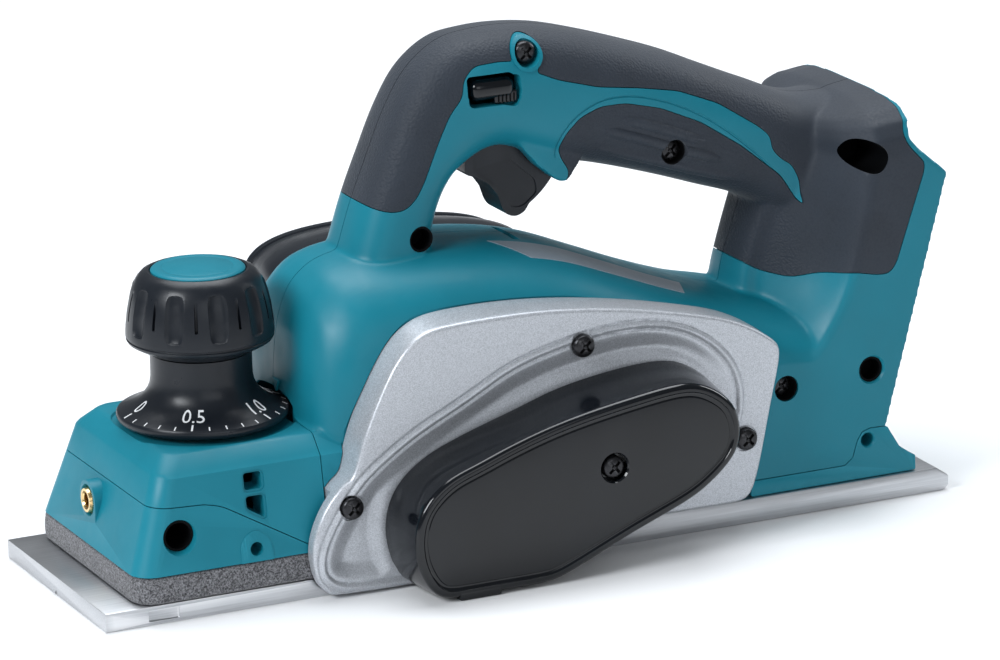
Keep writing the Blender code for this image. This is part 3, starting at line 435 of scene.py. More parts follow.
# Dark grip region of the left side view (X, Z), anticlockwise
GRIP_REGION = [
    (22, 106), (60, 86), (77, 81.5), (84.5, 77.8), (92, 73.4), (98.5, 72.2), (105, 75), (112, 76.4),
    (120, 74.6), (124.2, 74.6), (126.6, 77.4), (136.6, 106), (136.9, 109), (131.2, 115.2), (129.6, 119),
    (131.4, 124), (131.8, 134), (60, 172), (-30, 172), (-62, 122), (-50.5, 116.3), (-40.6, 111.2),
    (-35.6, 110.2), (-31.4, 110.9), (-28, 113.9), (-25.3, 118.6), (-19.9, 131.5), (-16.3, 138.9),
    (-12.1, 143.8), (-11.4, 149), (-7.5, 152.9), (1, 153.4), (5.4, 153), (5.2, 154.9), (5.9, 157.3),
    (7.6, 159.1), (9.8, 160), (12.2, 159.9), (14.2, 158.9), (15.7, 156.9), (16.2, 154.4), (15.7, 152.3),
    (14.4, 150.6), (13.4, 148.6), (20.3, 145.5), (34, 141.6), (47.8, 139.6), (61.7, 136.8),
    (75.6, 131.1), (89.6, 121.9), (93.5, 118.4), (94.1, 113.8), (97.7, 110.1), (100.9, 108.2),
    (103.6, 102.8), (104.3, 94.4), (97, 105.1), (83, 116.7), (69, 126), (55.1, 132.2), (43, 135.3),
    (34.4, 135.3), (27.4, 132.6), (22.9, 127.8), (21.4, 123.2), (22.6, 119.4), (25.6, 114.6),
]
LOWER_COVER = [
    (74.4, 8.3), (133.4, 8.3), (133.3, 13.2), (131.5, 14), (127, 17.4), (123.2, 24.2), (116.9, 24.4),
    (114.2, 23.5), (112.6, 21.2), (110.8, 15.5), (107.9, 13.3), (74.4, 13.3),
]


def cheek_x(z):
    return CHEEK_LOW[0] + (z - CHEEK_LOW[1]) * CHEEK_LEAN


def superellipse(half_u, half_v, exponent, count):
    ring = []
    for i in range(count):
        a = 2 * math.pi * i / count
        u, v = math.cos(a), math.sin(a)
        ring.append((half_u * math.copysign(abs(u) ** (2 / exponent), u),
                     half_v * math.copysign(abs(v) ** (2 / exponent), v)))
    return ring


def dense(table, steps):
    """Rows of a table of numbers with smooth rows put between them."""
    return catmull([tuple(np.hstack([np.ravel(c) for c in row])) for row in table], steps, closed=False)


def handle_form(depth, steps=6, count=72):
    rings = []
    rows = dense(HANDLE_SECTIONS, steps)
    for i, (fx, fz, ux, uz, half) in enumerate(rows):
        setback = Vector((depth if i == len(rows) - 1 else 0, 0))
        front, under = Vector((fx, fz)) - setback, Vector((ux, uz)) - setback
        middle, across = (front + under) / 2, (front - under).normalized()
        half_u = (front - under).length / 2 - depth
        rings.append([(middle.x + across.x * u, v, middle.y + across.y * u)
                      for u, v in superellipse(half_u, half - depth, HANDLE_SQUARENESS, count)])
    return loft("handle_form", rings)


def hump_form(depth, floor, steps=6, count=72):
    rings = []
    rows = dense(HUMP_SECTIONS, steps)
    last = len(rows) - 1
    for i, (x, top, shoulder, half) in enumerate(rows):
        x += depth * ((i == 0) - (i == last))
        oval = superellipse(half - depth, top - shoulder - depth, 2.4, count)
        arch = sorted(((u, max(v, 0)) for u, v in oval if v > -1e-6), key=lambda point: -point[0])
        ring = [(half - depth, floor), *((u, shoulder + v) for u, v in arch), (-half + depth, floor)]
        rings.append([(x, y, z) for y, z in ring])
    return loft("hump_form", rings)


def column_form(depth, behind, steps=5):
    rings = []
    for z, front, nose, flat in dense(COLUMN_SECTIONS, steps):
        side = CASING_HALF - depth
        nose -= depth
        rear = cheek_x(z) - behind
        flank = catmull([(flat + 1.2, side), (flat - 2.0, side - 1.5),
                         (flat - 8.0, side * 0.56 + nose * 0.42), (front + 8.5, nose + 0.6),
                         (front + 3.2, nose * 0.86), (front + 0.9 + depth, nose * 0.5),
                         (front + depth, 0.0)], 4, closed=False)
        half = [(rear, side), ((rear + flat) / 2, side), *flank]
        rings.append([(x, y, z) for x, y in half + [(x, -y) for x, y in reversed(half[:-1])]])
    base = rings[-1]
    front, rear = min(p[0] for p in base), max(p[0] for p in base)
    for rise, spread in CROWN:
        ring = []
        for x, y, z in base:
            share = min(max((x - front) / (rear - front) * 1.5, 0.0), 1.0)
            crest = 128.6 - depth - 8.0 * (1 - share * share * (3 - 2 * share))
            ring.append((x + (1 - spread) * 6.0 * (1 - share), y * spread, z + rise * (crest - z)))
        rings.append(ring)
    return loft("column_form", rings)


def rear_outline(depth):
    return [(60, 9.6), (CHEEK_LOW[0] - depth, 9.6), (CHEEK_HIGH[0] - depth, CHEEK_HIGH[1] - depth),
            (135.2 - depth, 113.6 - depth), (132.0 - depth, 117.4), (133.4 - depth, 126.0),
            (131.6 - depth, 129.0 - depth), (112, 129.0 - depth), (60, 140)]


def block_ring(z, front, half, radius, rear=-60.0):
    near = arc((front + radius, -half + radius), radius, 270, 180, 8)
    far = arc((front + radius, half - radius), radius, 180, 90, 8)
    return [(x, y, z) for x, y in [(rear, -half), (-90, -half), *near, *far, (-90, half), (rear, half)]]


def front_block(grow=0.0):
    levels = [(14.8, -134.0, 41.2, 7.0), (43.2, -124.6, 35.8, 6.4), (44.4, -123.9, 34.6, 6.2),
              (48.4, -119.6, 30.6, 5.6), (49.0, -118.4, 29.4, 5.0)]
    return loft("front_block", [block_ring(z + grow, front - grow, half + grow, radius)
                                for z, front, half, radius in levels])


def casing(depth, voxel, passes):
    """Outside of the whole casing as one smooth solid, its surface moved inwards by depth."""
    column = cut(column_form(depth, depth), slab("behind", [(200, -50), (200, 200), (60, 200), *reversed(
        rear_outline(depth)[1:]), (118.9 - depth, -50)], -60, 60))
    lower = slab("lower", [(60, 9.6), (CHEEK_LOW[0] - depth, 9.6), (cheek_x(50) - depth, 50),
                           (96, 50 - depth), (60, 52 - depth)], -CASING_HALF + depth, CASING_HALF - depth)
    forms = [column, lower, hump_form(depth, 9.6), handle_form(depth)]
    if depth == 0:
        guard = rounded([(8, 126), (15, 117.6), (21.6, 112.1), (24.6, 111.4), (26.6, 113.6), (30, 118.5),
                         (30, 127)], 1.0)
        forms += [front_block(), soften(slab("guard", guard, -14.0, 14.0), 2.6, 4, 50)]
    return remesh(merge("casing", forms), voxel, passes)


NOZZLE_FALL = 0.07                # how much the duct's roof falls towards the rear


def nozzle_form(depth, name):
    """Wide oval duct from the drum chamber out to the right side of the tool."""
    rings = []
    rows = dense(((24, -9, 66, 38, 15.5), (40, -6, 66.5, 42, 17.0), (60, -1, 67.0, 47, 17.5),
                  (88, 4, 61.5, 46, 17.0)), 8)
    for i, (y, x, z, half_x, half_z) in enumerate(rows):
        y += depth * ((i == 0) - (i == len(rows) - 1))
        rings.append([(x + u, y, z + v - NOZZLE_FALL * max(u, 0))
                      for u, v in superellipse(half_x - depth, half_z - depth, 3.2, 72)])
    return loft(name, rings)


def dock_cutter():
    """Slot for the battery: wide at the terminal wall, narrowed by a rail on each cheek."""
    def strip(name, near, far, half):
        low, high = 27.0, 140.0
        return slab(name, [(cheek_x(low) - far, low), (cheek_x(low) - near, low),
                           (cheek_x(high) - near, high), (cheek_x(high) - far, high)], -half, half)
    return join(strip("dock", 8.5, DOCK_DEPTH, DOCK_HALF), strip("rails", 3.5, 9.0, DOCK_HALF - 4.5),
                strip("mouth", -8, 4.0, DOCK_HALF))


# ---------------------------------------------------------------- materials

def new_material(name, colour, roughness, metallic=0.0, coat=0.0, specular=0.5, sheen=0.0):
    mat = bpy.data.materials.new(name)
    mat.use_nodes = True
    shader = mat.node_tree.nodes["Principled BSDF"]
    shader.inputs["Base Color"].default_value = (*colour, 1)
    shader.inputs["Roughness"].default_value = roughness
    shader.inputs["Metallic"].default_value = metallic
    shader.inputs["Coat Weight"].default_value = coat
    shader.inputs["Specular IOR Level"].default_value = specular
    shader.inputs["Sheen Weight"].default_value = sheen
    return mat


def node(mat, kind, **inputs):
    item = mat.node_tree.nodes.new(kind)
    for key, value in inputs.items():
        item.inputs[key.replace("_", " ")].default_value = value
    return item


def wire(mat, source, target):
    mat.node_tree.links.new(source, target)


def place(mat, scale=(1, 1, 1)):
    """Object coordinates, stretched by scale."""
    coords = mat.node_tree.nodes.new("ShaderNodeTexCoord")
    mapping = node(mat, "ShaderNodeMapping", Scale=scale)
    wire(mat, coords.outputs["Object"], mapping.inputs["Vector"])
    return mapping.outputs["Vector"]


def noise(mat, where, scale, detail=3.0, rough=0.5):
    item = node(mat, "ShaderNodeTexNoise", Scale=scale, Detail=detail, Roughness=rough)
    wire(mat, where, item.inputs["Vector"])
    return item.outputs["Fac"]


def ramp(mat, source, low, high, start=0.0, end=1.0):
    """Colour or grey ramp between two values over a stretch of a factor."""
    item = mat.node_tree.nodes.new("ShaderNodeValToRGB")
    item.color_ramp.elements[0].position = start
    item.color_ramp.elements[1].position = end
    for element, value in zip(item.color_ramp.elements, (low, high)):
        element.color = (*value, 1) if isinstance(value, tuple) else (value, value, value, 1)
    wire(mat, source, item.inputs["Fac"])
    return item.outputs["Color"]


def bump(mat, source, strength, distance, after=None):
    item = node(mat, "ShaderNodeBump", Strength=strength, Distance=distance)
    wire(mat, source, item.inputs["Height"])
    if after is not None:
        wire(mat, after, item.inputs["Normal"])
    return item.outputs["Normal"]


def finish_material(mat, colour=None, roughness=None, normal=None):
    shader = mat.node_tree.nodes["Principled BSDF"]
    for source, socket in ((colour, "Base Color"), (roughness, "Roughness"), (normal, "Normal")):
        if source is not None:
            wire(mat, source, shader.inputs[socket])
    return mat


def shades(colour, spread):
    return tuple(c * (1 - spread) for c in colour), tuple(min(1.0, c * (1 + spread)) for c in colour)


def painted_edge_highlight(mat, colour, highlight_colour, amount=0.5):
    """Painted highlight: mix a lighter colour in along convex edges, where light catches them."""
    pointy = mat.node_tree.nodes.new("ShaderNodeNewGeometry").outputs["Pointiness"]
    mask = ramp(mat, pointy, 0.0, amount, 0.53, 0.62)
    mix = mat.node_tree.nodes.new("ShaderNodeMix")
    mix.data_type = "RGBA"
    wire(mat, mask, mix.inputs["Factor"])
    wire(mat, colour, mix.inputs["A"])
    mix.inputs["B"].default_value = (*highlight_colour, 1)
    return mix.outputs["Result"]


def moulded(name, colour, roughness, grain=2600.0, depth=0.00002, spread=0.05, coat=0.0, specular=0.5):
    """Satin moulded plastic: faint cloudy colour and the fine spark-eroded grain of its mould."""
    mat = new_material(name, colour, roughness, coat=coat, specular=specular)
    where = place(mat)
    cloud = noise(mat, where, 45.0, 4.0)
    colours = ramp(mat, cloud, *shades(colour, spread), 0.3, 0.7)
    # Painted highlight along convex edges, lighter than the plastic's own colour.
    colours = painted_edge_highlight(mat, colours, tuple(min(1.0, c * 1.5 + 0.01) for c in colour), 0.35)
    fine = noise(mat, where, grain, 2.0)
    rough = ramp(mat, noise(mat, where, 160.0, 5.0), roughness - 0.05, roughness + 0.06, 0.3, 0.7)
    return finish_material(mat, colours, rough, bump(mat, fine, 0.35, depth))


def grip_rubber():
    """Soft overmould: leathery grain on the handle, smoother on the boot behind it."""
    colour = (0.018, 0.025, 0.037)
    mat = new_material("grip", colour, 0.62, specular=0.35, sheen=0.12)
    where = place(mat)
    cells = node(mat, "ShaderNodeTexVoronoi", Scale=1500.0)
    cells.feature = "SMOOTH_F1"
    wire(mat, where, cells.inputs["Vector"])
    split = mat.node_tree.nodes.new("ShaderNodeSeparateXYZ")
    wire(mat, mat.node_tree.nodes.new("ShaderNodeTexCoord").outputs["Object"], split.inputs["Vector"])
    mask = node(mat, "ShaderNodeMapRange")
    mask.inputs["From Min"].default_value = 0.099
    mask.inputs["From Max"].default_value = 0.103
    mask.inputs["To Min"].default_value = 1.0
    mask.inputs["To Max"].default_value = 0.12
    wire(mat, split.outputs["X"], mask.inputs["Value"])
    grain = node(mat, "ShaderNodeBump", Strength=0.8, Distance=0.00016)
    wire(mat, cells.outputs["Distance"], grain.inputs["Height"])
    wire(mat, mask.outputs["Result"], grain.inputs["Strength"])
    normal = bump(mat, noise(mat, where, 3200.0, 2.0), 0.3, 0.00003, grain.outputs["Normal"])
    tone = ramp(mat, noise(mat, where, 60.0, 4.0), *shades(colour, 0.12), 0.3, 0.7)
    # Painted highlight along convex edges, a light bluish grey.
    tone = painted_edge_highlight(mat, tone, (0.075, 0.083, 0.10), 0.4)
    rough = ramp(mat, cells.outputs["Distance"], 0.52, 0.70, 0.1, 0.8)
    return finish_material(mat, tone, rough, normal)


def cast_paint():
    """Silver enamel over a casting: metal flake sparkle and a trace of orange peel."""
    mat = new_material("cast", (0.50, 0.52, 0.56), 0.36, metallic=0.45, coat=0.08)
    where = place(mat)
    flake = node(mat, "ShaderNodeTexVoronoi", Scale=4200.0)
    wire(mat, where, flake.inputs["Vector"])
    spark = ramp(mat, flake.outputs["Color"], (0.38, 0.40, 0.43), (0.60, 0.62, 0.66), 0.15, 0.85)
    rough = ramp(mat, flake.outputs["Color"], 0.30, 0.46, 0.1, 0.9)
    peel = bump(mat, noise(mat, where, 700.0, 2.0), 0.25, 0.00004)
    return finish_material(mat, spark, rough, bump(mat, flake.outputs["Distance"], 0.15, 0.00002, peel))


def milled():
    """Aluminium plate milled along its length, with a painted highlight along its edges."""
    colour = (0.52, 0.53, 0.55)
    mat = new_material("sole", colour, 0.36, metallic=1.0)
    fine = noise(mat, place(mat, (14.0, 900.0, 900.0)), 2.4, 4.0)
    cloud = noise(mat, place(mat), 30.0, 4.0)
    tone = ramp(mat, fine, (0.42, 0.43, 0.45), (0.60, 0.61, 0.63), 0.25, 0.75)
    # Painted highlight: near-white along the convex edges.
    tone = painted_edge_highlight(mat, tone, (0.92, 0.92, 0.93), 0.6)
    rough = ramp(mat, cloud, 0.27, 0.42, 0.3, 0.7)
    return finish_material(mat, tone, rough, bump(mat, fine, 0.4, 0.00003))


def machined(name, colour, roughness, scale=(1.0, 1.0, 1.0), metallic=1.0, lines=1800.0, highlight_strength=0.25):
    """Turned or ground metal with fine tool lines."""
    mat = new_material(name, colour, roughness, metallic=metallic)
    where = place(mat, scale)
    fine = noise(mat, where, lines, 3.0)
    tone = ramp(mat, noise(mat, place(mat), 140.0, 4.0), *shades(colour, 0.12), 0.3, 0.7)
    # Painted highlight along convex edges, lighter than the metal's own colour.
    tone = painted_edge_highlight(mat, tone, tuple(min(1.0, c * 1.4 + 0.05) for c in colour), highlight_strength)
    rough = ramp(mat, fine, max(0.05, roughness - 0.07), roughness + 0.09, 0.25, 0.75)
    return finish_material(mat, tone, rough, bump(mat, fine, 0.3, 0.00002))


def copper_windings():
    colour = (0.70, 0.32, 0.16)
    mat = new_material("copper", colour, 0.35, metallic=1.0)
    rings = node(mat, "ShaderNodeTexWave", Scale=260.0, Distortion=0.6)
    rings.bands_direction = "Y"
    wire(mat, place(mat), rings.inputs["Vector"])
    tone = ramp(mat, rings.outputs["Fac"], (0.42, 0.16, 0.07), (0.80, 0.40, 0.22), 0.1, 0.9)
    return finish_material(mat, tone, None, bump(mat, rings.outputs["Fac"], 0.6, 0.0002))


def gloss_cover():
    """Polished black cover with the faintest moulding flow and hairline marks."""
    colour = (0.0035, 0.0045, 0.0065)
    mat = new_material("gloss", colour, 0.12, coat=0.0, specular=0.42)
    where = place(mat)
    tone = ramp(mat, noise(mat, where, 50.0, 3.0), *shades(colour, 0.25), 0.3, 0.7)
    rough = ramp(mat, noise(mat, place(mat, (1.0, 1.0, 7.0)), 420.0, 5.0), 0.09, 0.20, 0.35, 0.8)
    return finish_material(mat, tone, rough, bump(mat, noise(mat, where, 70.0, 2.0), 0.12, 0.00012))


def speckled_foam():
    """Grey felt foam, flecked light and dark."""
    mat = new_material("foam", (0.12, 0.12, 0.13), 0.95, specular=0.15, sheen=0.3)
    where = place(mat)
    flecks = node(mat, "ShaderNodeTexVoronoi", Scale=1500.0)
    wire(mat, where, flecks.inputs["Vector"])
    fuzz = noise(mat, where, 1700.0, 5.0, 0.75)
    tone = ramp(mat, fuzz, (0.030, 0.030, 0.033), (0.34, 0.34, 0.36), 0.40, 0.66)
    rough = ramp(mat, fuzz, 0.88, 1.0)
    normal = bump(mat, fuzz, 1.0, 0.00035)
    return finish_material(mat, tone, rough, bump(mat, flecks.outputs["Distance"], 0.5, 0.0002, normal))


def woven_belt():
    colour = (0.02, 0.02, 0.021)
    mat = new_material("belt", colour, 0.8, specular=0.3)
    weave = node(mat, "ShaderNodeTexWave", Scale=420.0, Distortion=0.4)
    weave.bands_direction = "Y"
    wire(mat, place(mat), weave.inputs["Vector"])
    tone = ramp(mat, weave.outputs["Fac"], *shades(colour, 0.35), 0.2, 0.8)
    return finish_material(mat, tone, None, bump(mat, weave.outputs["Fac"], 0.6, 0.0002))


MATERIALS = {
    "teal": moulded("teal", (0.0055, 0.180, 0.245), 0.40, specular=0.28),
    "grip": grip_rubber(),
    "dark": moulded("dark", (0.009, 0.0115, 0.016), 0.32, grain=3000.0, specular=0.32),
    "gloss": gloss_cover(),
    "cast": cast_paint(),
    "sole": milled(),
    "steel": machined("steel", (0.56, 0.56, 0.57), 0.28, (1.0, 6.0, 1.0)),
    # The screw heads get a stronger painted highlight along their edges.
    "screw": machined("screw", (0.035, 0.035, 0.038), 0.30, metallic=0.85, highlight_strength=0.5),
    "brass": machined("brass", (0.80, 0.57, 0.27), 0.24, (6.0, 1.0, 1.0)),
    "copper": copper_windings(),
    "foam": speckled_foam(),
    "belt": woven_belt(),
}
WHITE_INK = moulded("white_ink", (0.72, 0.74, 0.76), 0.5, spread=0.04)
# Near-black painted shade for the insides of holes and pockets, which lie in shadow.
HOLE_SHADE = moulded("hole_shade", (0.0016, 0.0019, 0.0024), 0.75, specular=0.06, spread=0.2)
LABEL = moulded("label", (0.23, 0.27, 0.31), 0.34, grain=1500.0)


def dress(item, slot, body="root", replaces=(), mat=None, smooth=30.0, name=None):
    """Give a finished piece its material, its body and the CAD nodes it stands for."""
    if name:
        item.name = name
    item.data.name = item.name
    item.data.materials.clear()
    item.data.materials.append(mat or MATERIALS[slot])
    item.data.shade_smooth()
    item.data.set_sharp_from_angle(angle=math.radians(smooth))
    if body:
        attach(item, body)
    if replaces:
        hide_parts(*replaces)
    return item


# ---------------------------------------------------------------- casing: housings and grips

def surface_tree(item):
    work = bmesh.new()
    work.from_mesh(item.data)
    tree = BVHTree.FromBMesh(work)
    work.free()
    return tree


def touch(tree, start, direction):
    """Point in mm where a ray from outside meets the casing."""
    hit = tree.ray_cast(Vector(start) * MM, Vector(direction))[0]
    return hit / MM if hit is not None else None


SCREW_SPOTS = {"handle_screw_front": ((10.7, 154.6), -15.2, 24.0),
               "handle_screw_rear": ((60.1, 117.2), -14.8, 24.0),
               "housing_screw": ((87.2, 42.0), -36.3, 35.0),
               "plate_screw_top": ((13.2, 68.6), -48.4, 16.0),
               "plate_screw_front": ((-65.3, 28.4), -47.4, 14.0),
               "plate_screw_rear": ((69.2, 30.1), -48.4, 16.0),
               "cover_screw": ((14.2, 34.3), -65.2, 3.6)}
PLATE_FLARE = [
    0, 0.3, 0.4, 0.4, 0.5, 0.5, 0.6, 0.9, 1.3, 1.8, 1.8, 1.3, 0.9, 1, 1.2, 1.2, 0.8, 0.4, 0.3, 0.2, 0,
    0, 0, 0, 0, 0, 0,
]
RIBS = [
    [(38, 131.5), (46, 128.9), (52.9, 126.6), (59.5, 124), (65.9, 121.3), (72.5, 119)],
    [(32.7, 128.6), (40, 126.2), (47.6, 123.6), (55.4, 120.6), (64.5, 117.2), (72, 114.6), (80.3, 111.8)],
    [(32, 122.9), (43, 119.2), (55, 115.1), (66, 111.2), (77, 107.8), (86.6, 104.7)],
]


def plate_rings(grow, planes):
    """Side plate outline at several Y planes; each plane is (Y, share of the flare, extra inset)."""
    fine = smoothed(catmull([(*p, f) for p, f in zip(PLATE_OUTLINE, PLATE_FLARE)], 6), 10)
    outline = [(p[0], p[1]) for p in fine]
    flare = np.array([max(0.0, p[2]) for p in fine])
    rings = []
    for y, share, extra in planes:
        amount = extra - grow
        line = clean_inset(outline, amount) if amount > 0 else inset(outline, amount)
        rings.append([(x, y, z) for x, z in (inset(line, -flare * share) if share else line)])
    return rings


def screw_hole(axis, head_y, end_y, radius=4.2):
    return join(along_y("pocket", axis, head_y - 12, head_y + 2.9, radius, 40),
                along_y("bore", axis, head_y, end_y, 2.3, 20))


def rib_tubes(tree, paths, side, radius, sink):
    """Raised lines lying on the casing's side."""
    made = []
    for path in paths:
        line = [touch(tree, (x, side * 60, z), (0, -side, 0)) for x, z in path]
        line = [p + Vector((0, -side * sink, 0)) for p in line if p is not None]
        made.append(tube("rib", line, radius))
    return made


def trigger_window():
    outline = [(-9.6, 117.5), (-7.5, 112.0), (10.0, 92.0)] + arc(TRIGGER_PIVOT, 33.0, -62, -2, 16)
    return slab("trigger_window", outline + [(29.0, 133.5), (-6.5, 133.5)], -8.4, 8.4)


def cavity():
    wall_back = DOCK_DEPTH + 5
    lower = slab("hollow", [(56, 0), (CHEEK_LOW[0] - 5, 0), (cheek_x(22) - 5, 22),
                            (cheek_x(24) - wall_back, 23), (cheek_x(46) - wall_back, 47), (56, 47)],
                 -36.0, 36.0)
    column = column_form(4.8, DOCK_DEPTH + 4.8, 2)
    forms = [lower, column, hump_form(4.8, 0.5, 3, 32), handle_form(4.8, 3, 32)]
    return remesh(merge("cavity", forms), 1.8, 2)


def slab_x(name, outline, x_low, x_high):
    """Flat solid from a (Y, Z) outline between two X planes."""
    item = slab(name, outline, -x_high, -x_low)
    item.data.transform(Matrix.Rotation(math.radians(90), 4, "Z"))
    return item


def split_front(front):
    """Front moulding, parted along its seam into an upper and a lower piece, with their fittings."""
    half_slope = (41.2 - 35.8) / (43.2 - 14.8)      # how fast the side walls close in with height

    def on_face(outline, out, inwards):
        """Pad that follows the near face's slope."""
        item = slab("pad", outline, -41.2 - out, -41.2 + inwards)
        for v in item.data.vertices:
            v.co.y += (v.co.z - 14.8 * MM) * half_slope
        return item

    inside = slab("inside", [(-128, 5), (-74.5, 5), (-74.5, 44.8), (-117.5, 44.8)], -29, 29)
    pad_outline = rounded([(-100.3, 12), (-89.6, 12), (-89.6, 19.4), (-91.6, 22.8), (-95.0, 24.6),
                           (-98.4, 22.8), (-100.3, 19.6)], 2.4)
    pad = soften(on_face(pad_outline, 0.25, 3.0), 0.2)
    drop = teardrop((INSERT_Y, INSERT_Z), 6.3, (0.6, 17.5), 2.0)
    boss = soften(slab_x("boss", drop, -131.9, -120.0), 0.5)
    front = cut(join(front, pad, boss), inside, box("floor", (-160, -60, 0), (-60, 60, 14.8)))
    front = cut(front, rod("stud_hole", (KNOB_X, 0, 30), (KNOB_X, 0, 60), 6.0),
                revolve("dial_dip", [(0, 60), (29.4, 60), (29.2, 49.2), (28.5, 48.5), (27, 48.2),
                                     (0, 48.2)], (KNOB_X, 0)),
                along_y("fence_hole", FENCE_HOLE, -60, -28, 4.9),
                along_y("fence_lead", FENCE_HOLE, -41.2, -37.6, 6.1, 48, 4.85),
                along_y("pad_hole", (-94.9, 18.6), -60, -33, 2.1),
                rod("insert_hole", (-140, INSERT_Y, INSERT_Z), (-120, INSERT_Y, INSERT_Z), 4.25),
                rod("insert_lead", (-133, INSERT_Y, INSERT_Z), (-130.4, INSERT_Y, INSERT_Z), 5.6, 48, 4.2))
    for vent in ([(-96.7, 36.3), (-90.9, 36.3), (-90.9, 41.5), (-96.7, 41.5)],
                 [(-96.6, 30.8), (-90.9, 27.3), (-90.9, 34.4), (-96.6, 34.4)]):
        front = cut(front, slab("vent", rounded(vent, 1.1), -60, -20),
                    on_face(inset(rounded(vent, 1.3), -0.7), 3.0, 0.4))
    seam = [(-150, 36.2), (-110.5, 34.4), (-105.0, 33.2), (-71.0, 13.6)]
    smooth_seam = rounded([*seam, (-60, 7), (-150, 0)], [0, 0, 6, 0, 0, 0], 8)
    upper = cut(twin(front, "upper"), slab("below", smooth_seam[::-1], -70, 70))
    above = [(x, z - 2 * SEAM) for x, z in smooth_seam[:-2]] + [(-60, 7), (-60, 80), (-150, 80)]
    lower = cut(front, slab("above", above, -70, 70))
    dress(tidy(upper), "teal", replaces=["front_housing_upper"], name="front_housing_upper_shell")
    dress(tidy(lower), "teal", replaces=["front_housing_lower"], name="front_housing_lower_shell")


def teardrop(first, radius_1, second, radius_2):
    """Teardrop outline round two circles."""
    dx, dz = second[0] - first[0], second[1] - first[1]
    lean = math.degrees(math.atan2(dz, dx))
    spread = math.degrees(math.acos((radius_1 - radius_2) / math.hypot(dx, dz)))
    return (arc(second, radius_2, lean - spread, lean + spread, 10)
            + arc(first, radius_1, lean + spread, lean + 360 - spread, 32))


def build_casing():
    outer = casing(0, 0.8, 7)
    tree = surface_tree(outer)
    ring_boss = common(along_y("ring_boss", SCREW_SPOTS["handle_screw_front"][0], -19.0, 0, 5.3, 64),
                       casing(-0.6, 1.2, 3))
    arrow = slab_x("arrow", [(-5.2, 58.9), (-3.0, 55.2), (-0.8, 58.9)], -71.3, -67.0)
    ribs = [rib for side in (-1, 1) for rib in rib_tubes(tree, RIBS, side, 2.2, 1.2)]
    outer = join(outer, soften(ring_boss, 0.4), front_block(0.06), *ribs)

    front = common(front_block(0.06), box("ahead", (-160, -60, 0), (BLOCK_REAR - SEAM, 60, 120)))
    main = common(outer, box("behind", (BLOCK_REAR + SEAM, -60, 9.6), (160, 60, 200)))
    split_front(front)

    region = catmull_region()
    under = casing(1.9, 1.3, 3)
    just_under = casing(0.5, 1.3, 3)
    grips = common(twin(main, "grips"), slab("region_in", inset(region, 0.14), -60, 60))
    grips = cut(grips, under, keep=True)
    seat = cut(slab("region_out", inset(region, -0.14), -60, 60), under)
    main = cut(main, seat, cavity(), dock_cutter(), trigger_window())

    lock = rounded([(-10.4, 149.9), (-10.3, 142.6), (6.4, 138.9), (8.2, 144.6), (4.6, 150.1)], 1.6)
    planes = [(-60, 0, 0), (-46, 0, 0), (-43, 0.22, 0), (-40, 0.5, 0), (-37, 0.82, 0), (-33.7, 1, 0)]
    plate_room = loft("plate_room", plate_rings(0.3, planes))
    main = cut(main, plate_room, along_y("chamber", DRUM_AXIS, -60, 60, 26.0, 96),
               along_y("motor_hole", MOTOR_AXIS, -50, -30, 16.0),
               box("lock_slot", (-10.0, -30, 140.0), (7.6, 30, 149.2), 2.0),
               slab("lock_near", lock, -30, -14.4), slab("lock_far", lock, 14.4, 30),
               nozzle_form(-0.3, "nozzle_seat"), slab("lower_cut", inset(LOWER_COVER, -0.3), -60, 60),
               revolve("dial_room", [(0, 42), (28, 42), (28, 53), (26.4, 54.8), (22.6, 56.6), (19.6, 59.5),
                                     (18, 62.5), (0, 62.5)], (KNOB_X, 0)),
               box("foot_bay", (96, 12, 0), (134, 30, 24.6)))
    main = join(main, along_y("screw_boss", SCREW_SPOTS["housing_screw"][0], -37.0, -1.0, 7.0))
    for name, (axis, head_y, length) in SCREW_SPOTS.items():
        if name != "cover_screw":
            main = cut(main, screw_hole(axis, head_y, head_y + length + 1))
    main = cut(main, along_y("side_hole", SIDE_HOLE, -50, -32, 4.2),
               along_y("side_lead", SIDE_HOLE, -40.6, -39.2, 5.2, 48, 4.1),
               along_y("leg_hole", LEG_HOLE, -30, -8, 4.1),
               along_y("pin_hole", TRIGGER_PIVOT, -13, 13, 2.25))
    main = join(engrave(main, tree), arrow)

    for name in ("handle_screw_front", "handle_screw_rear", "housing_screw"):
        axis, head_y, length = SCREW_SPOTS[name]
        grips = cut(grips, screw_hole(axis, head_y, head_y + length + 1))
    boot = [(118.2 + u, 112.6 + v) for u, v in tilted_ellipse(5.9, 4.8, -28)]
    for side, label in ((-1, "left"), (1, "right")):
        near, far = sorted((side * 18.0, side * 60.0))
        # Near-black painted shade lining the hole through the boot, where its inside lies in shadow.
        lining = common(slab("lining", inset(boot, -1.3), near, far), just_under, keep=True)
        main = cut(main, slab("lining_room", inset(boot, -1.45), near, far))
        grips = cut(grips, slab("grip_room", inset(boot, -0.1), near, far))
        floor_near, floor_far = (near + 1.2, far) if side > 0 else (near, far - 1.2)
        lining = cut(lining, slab("boot_hole", boot, floor_near, floor_far))
        dress(lining, "dark", mat=HOLE_SHADE, name=f"boot_hole_lining_{label}")
    main = vents(main, tree)
    part_line = cut(box("part_line", (-200, -SEAM, -20), (200, SEAM, 200)), just_under)
    grips = cut(grips, dock_cutter(), trigger_window(), slab("boot_seam", boot_seam(), -60, 60),
                twin(part_line, "grip_line"))
    main = cut(main, part_line)

    for side, low, high in (("left", -90, -0.002), ("right", 0.002, 90)):
        half_space = box("half_space", (-200, low, -20), (200, high, 200))
        half = common(twin(main, "half"), half_space, keep=True)
        dress(tidy(half), "teal", replaces=["housing_" + side], name=f"housing_{side}_shell")
        skin = common(twin(grips, "skin"), half_space)
        dress(tidy(skin), "grip", replaces=["grip_" + side], name=f"grip_{side}_skin", smooth=50.0)
    for spent in (main, grips):
        bpy.data.objects.remove(spent, do_unlink=True)
    return tree


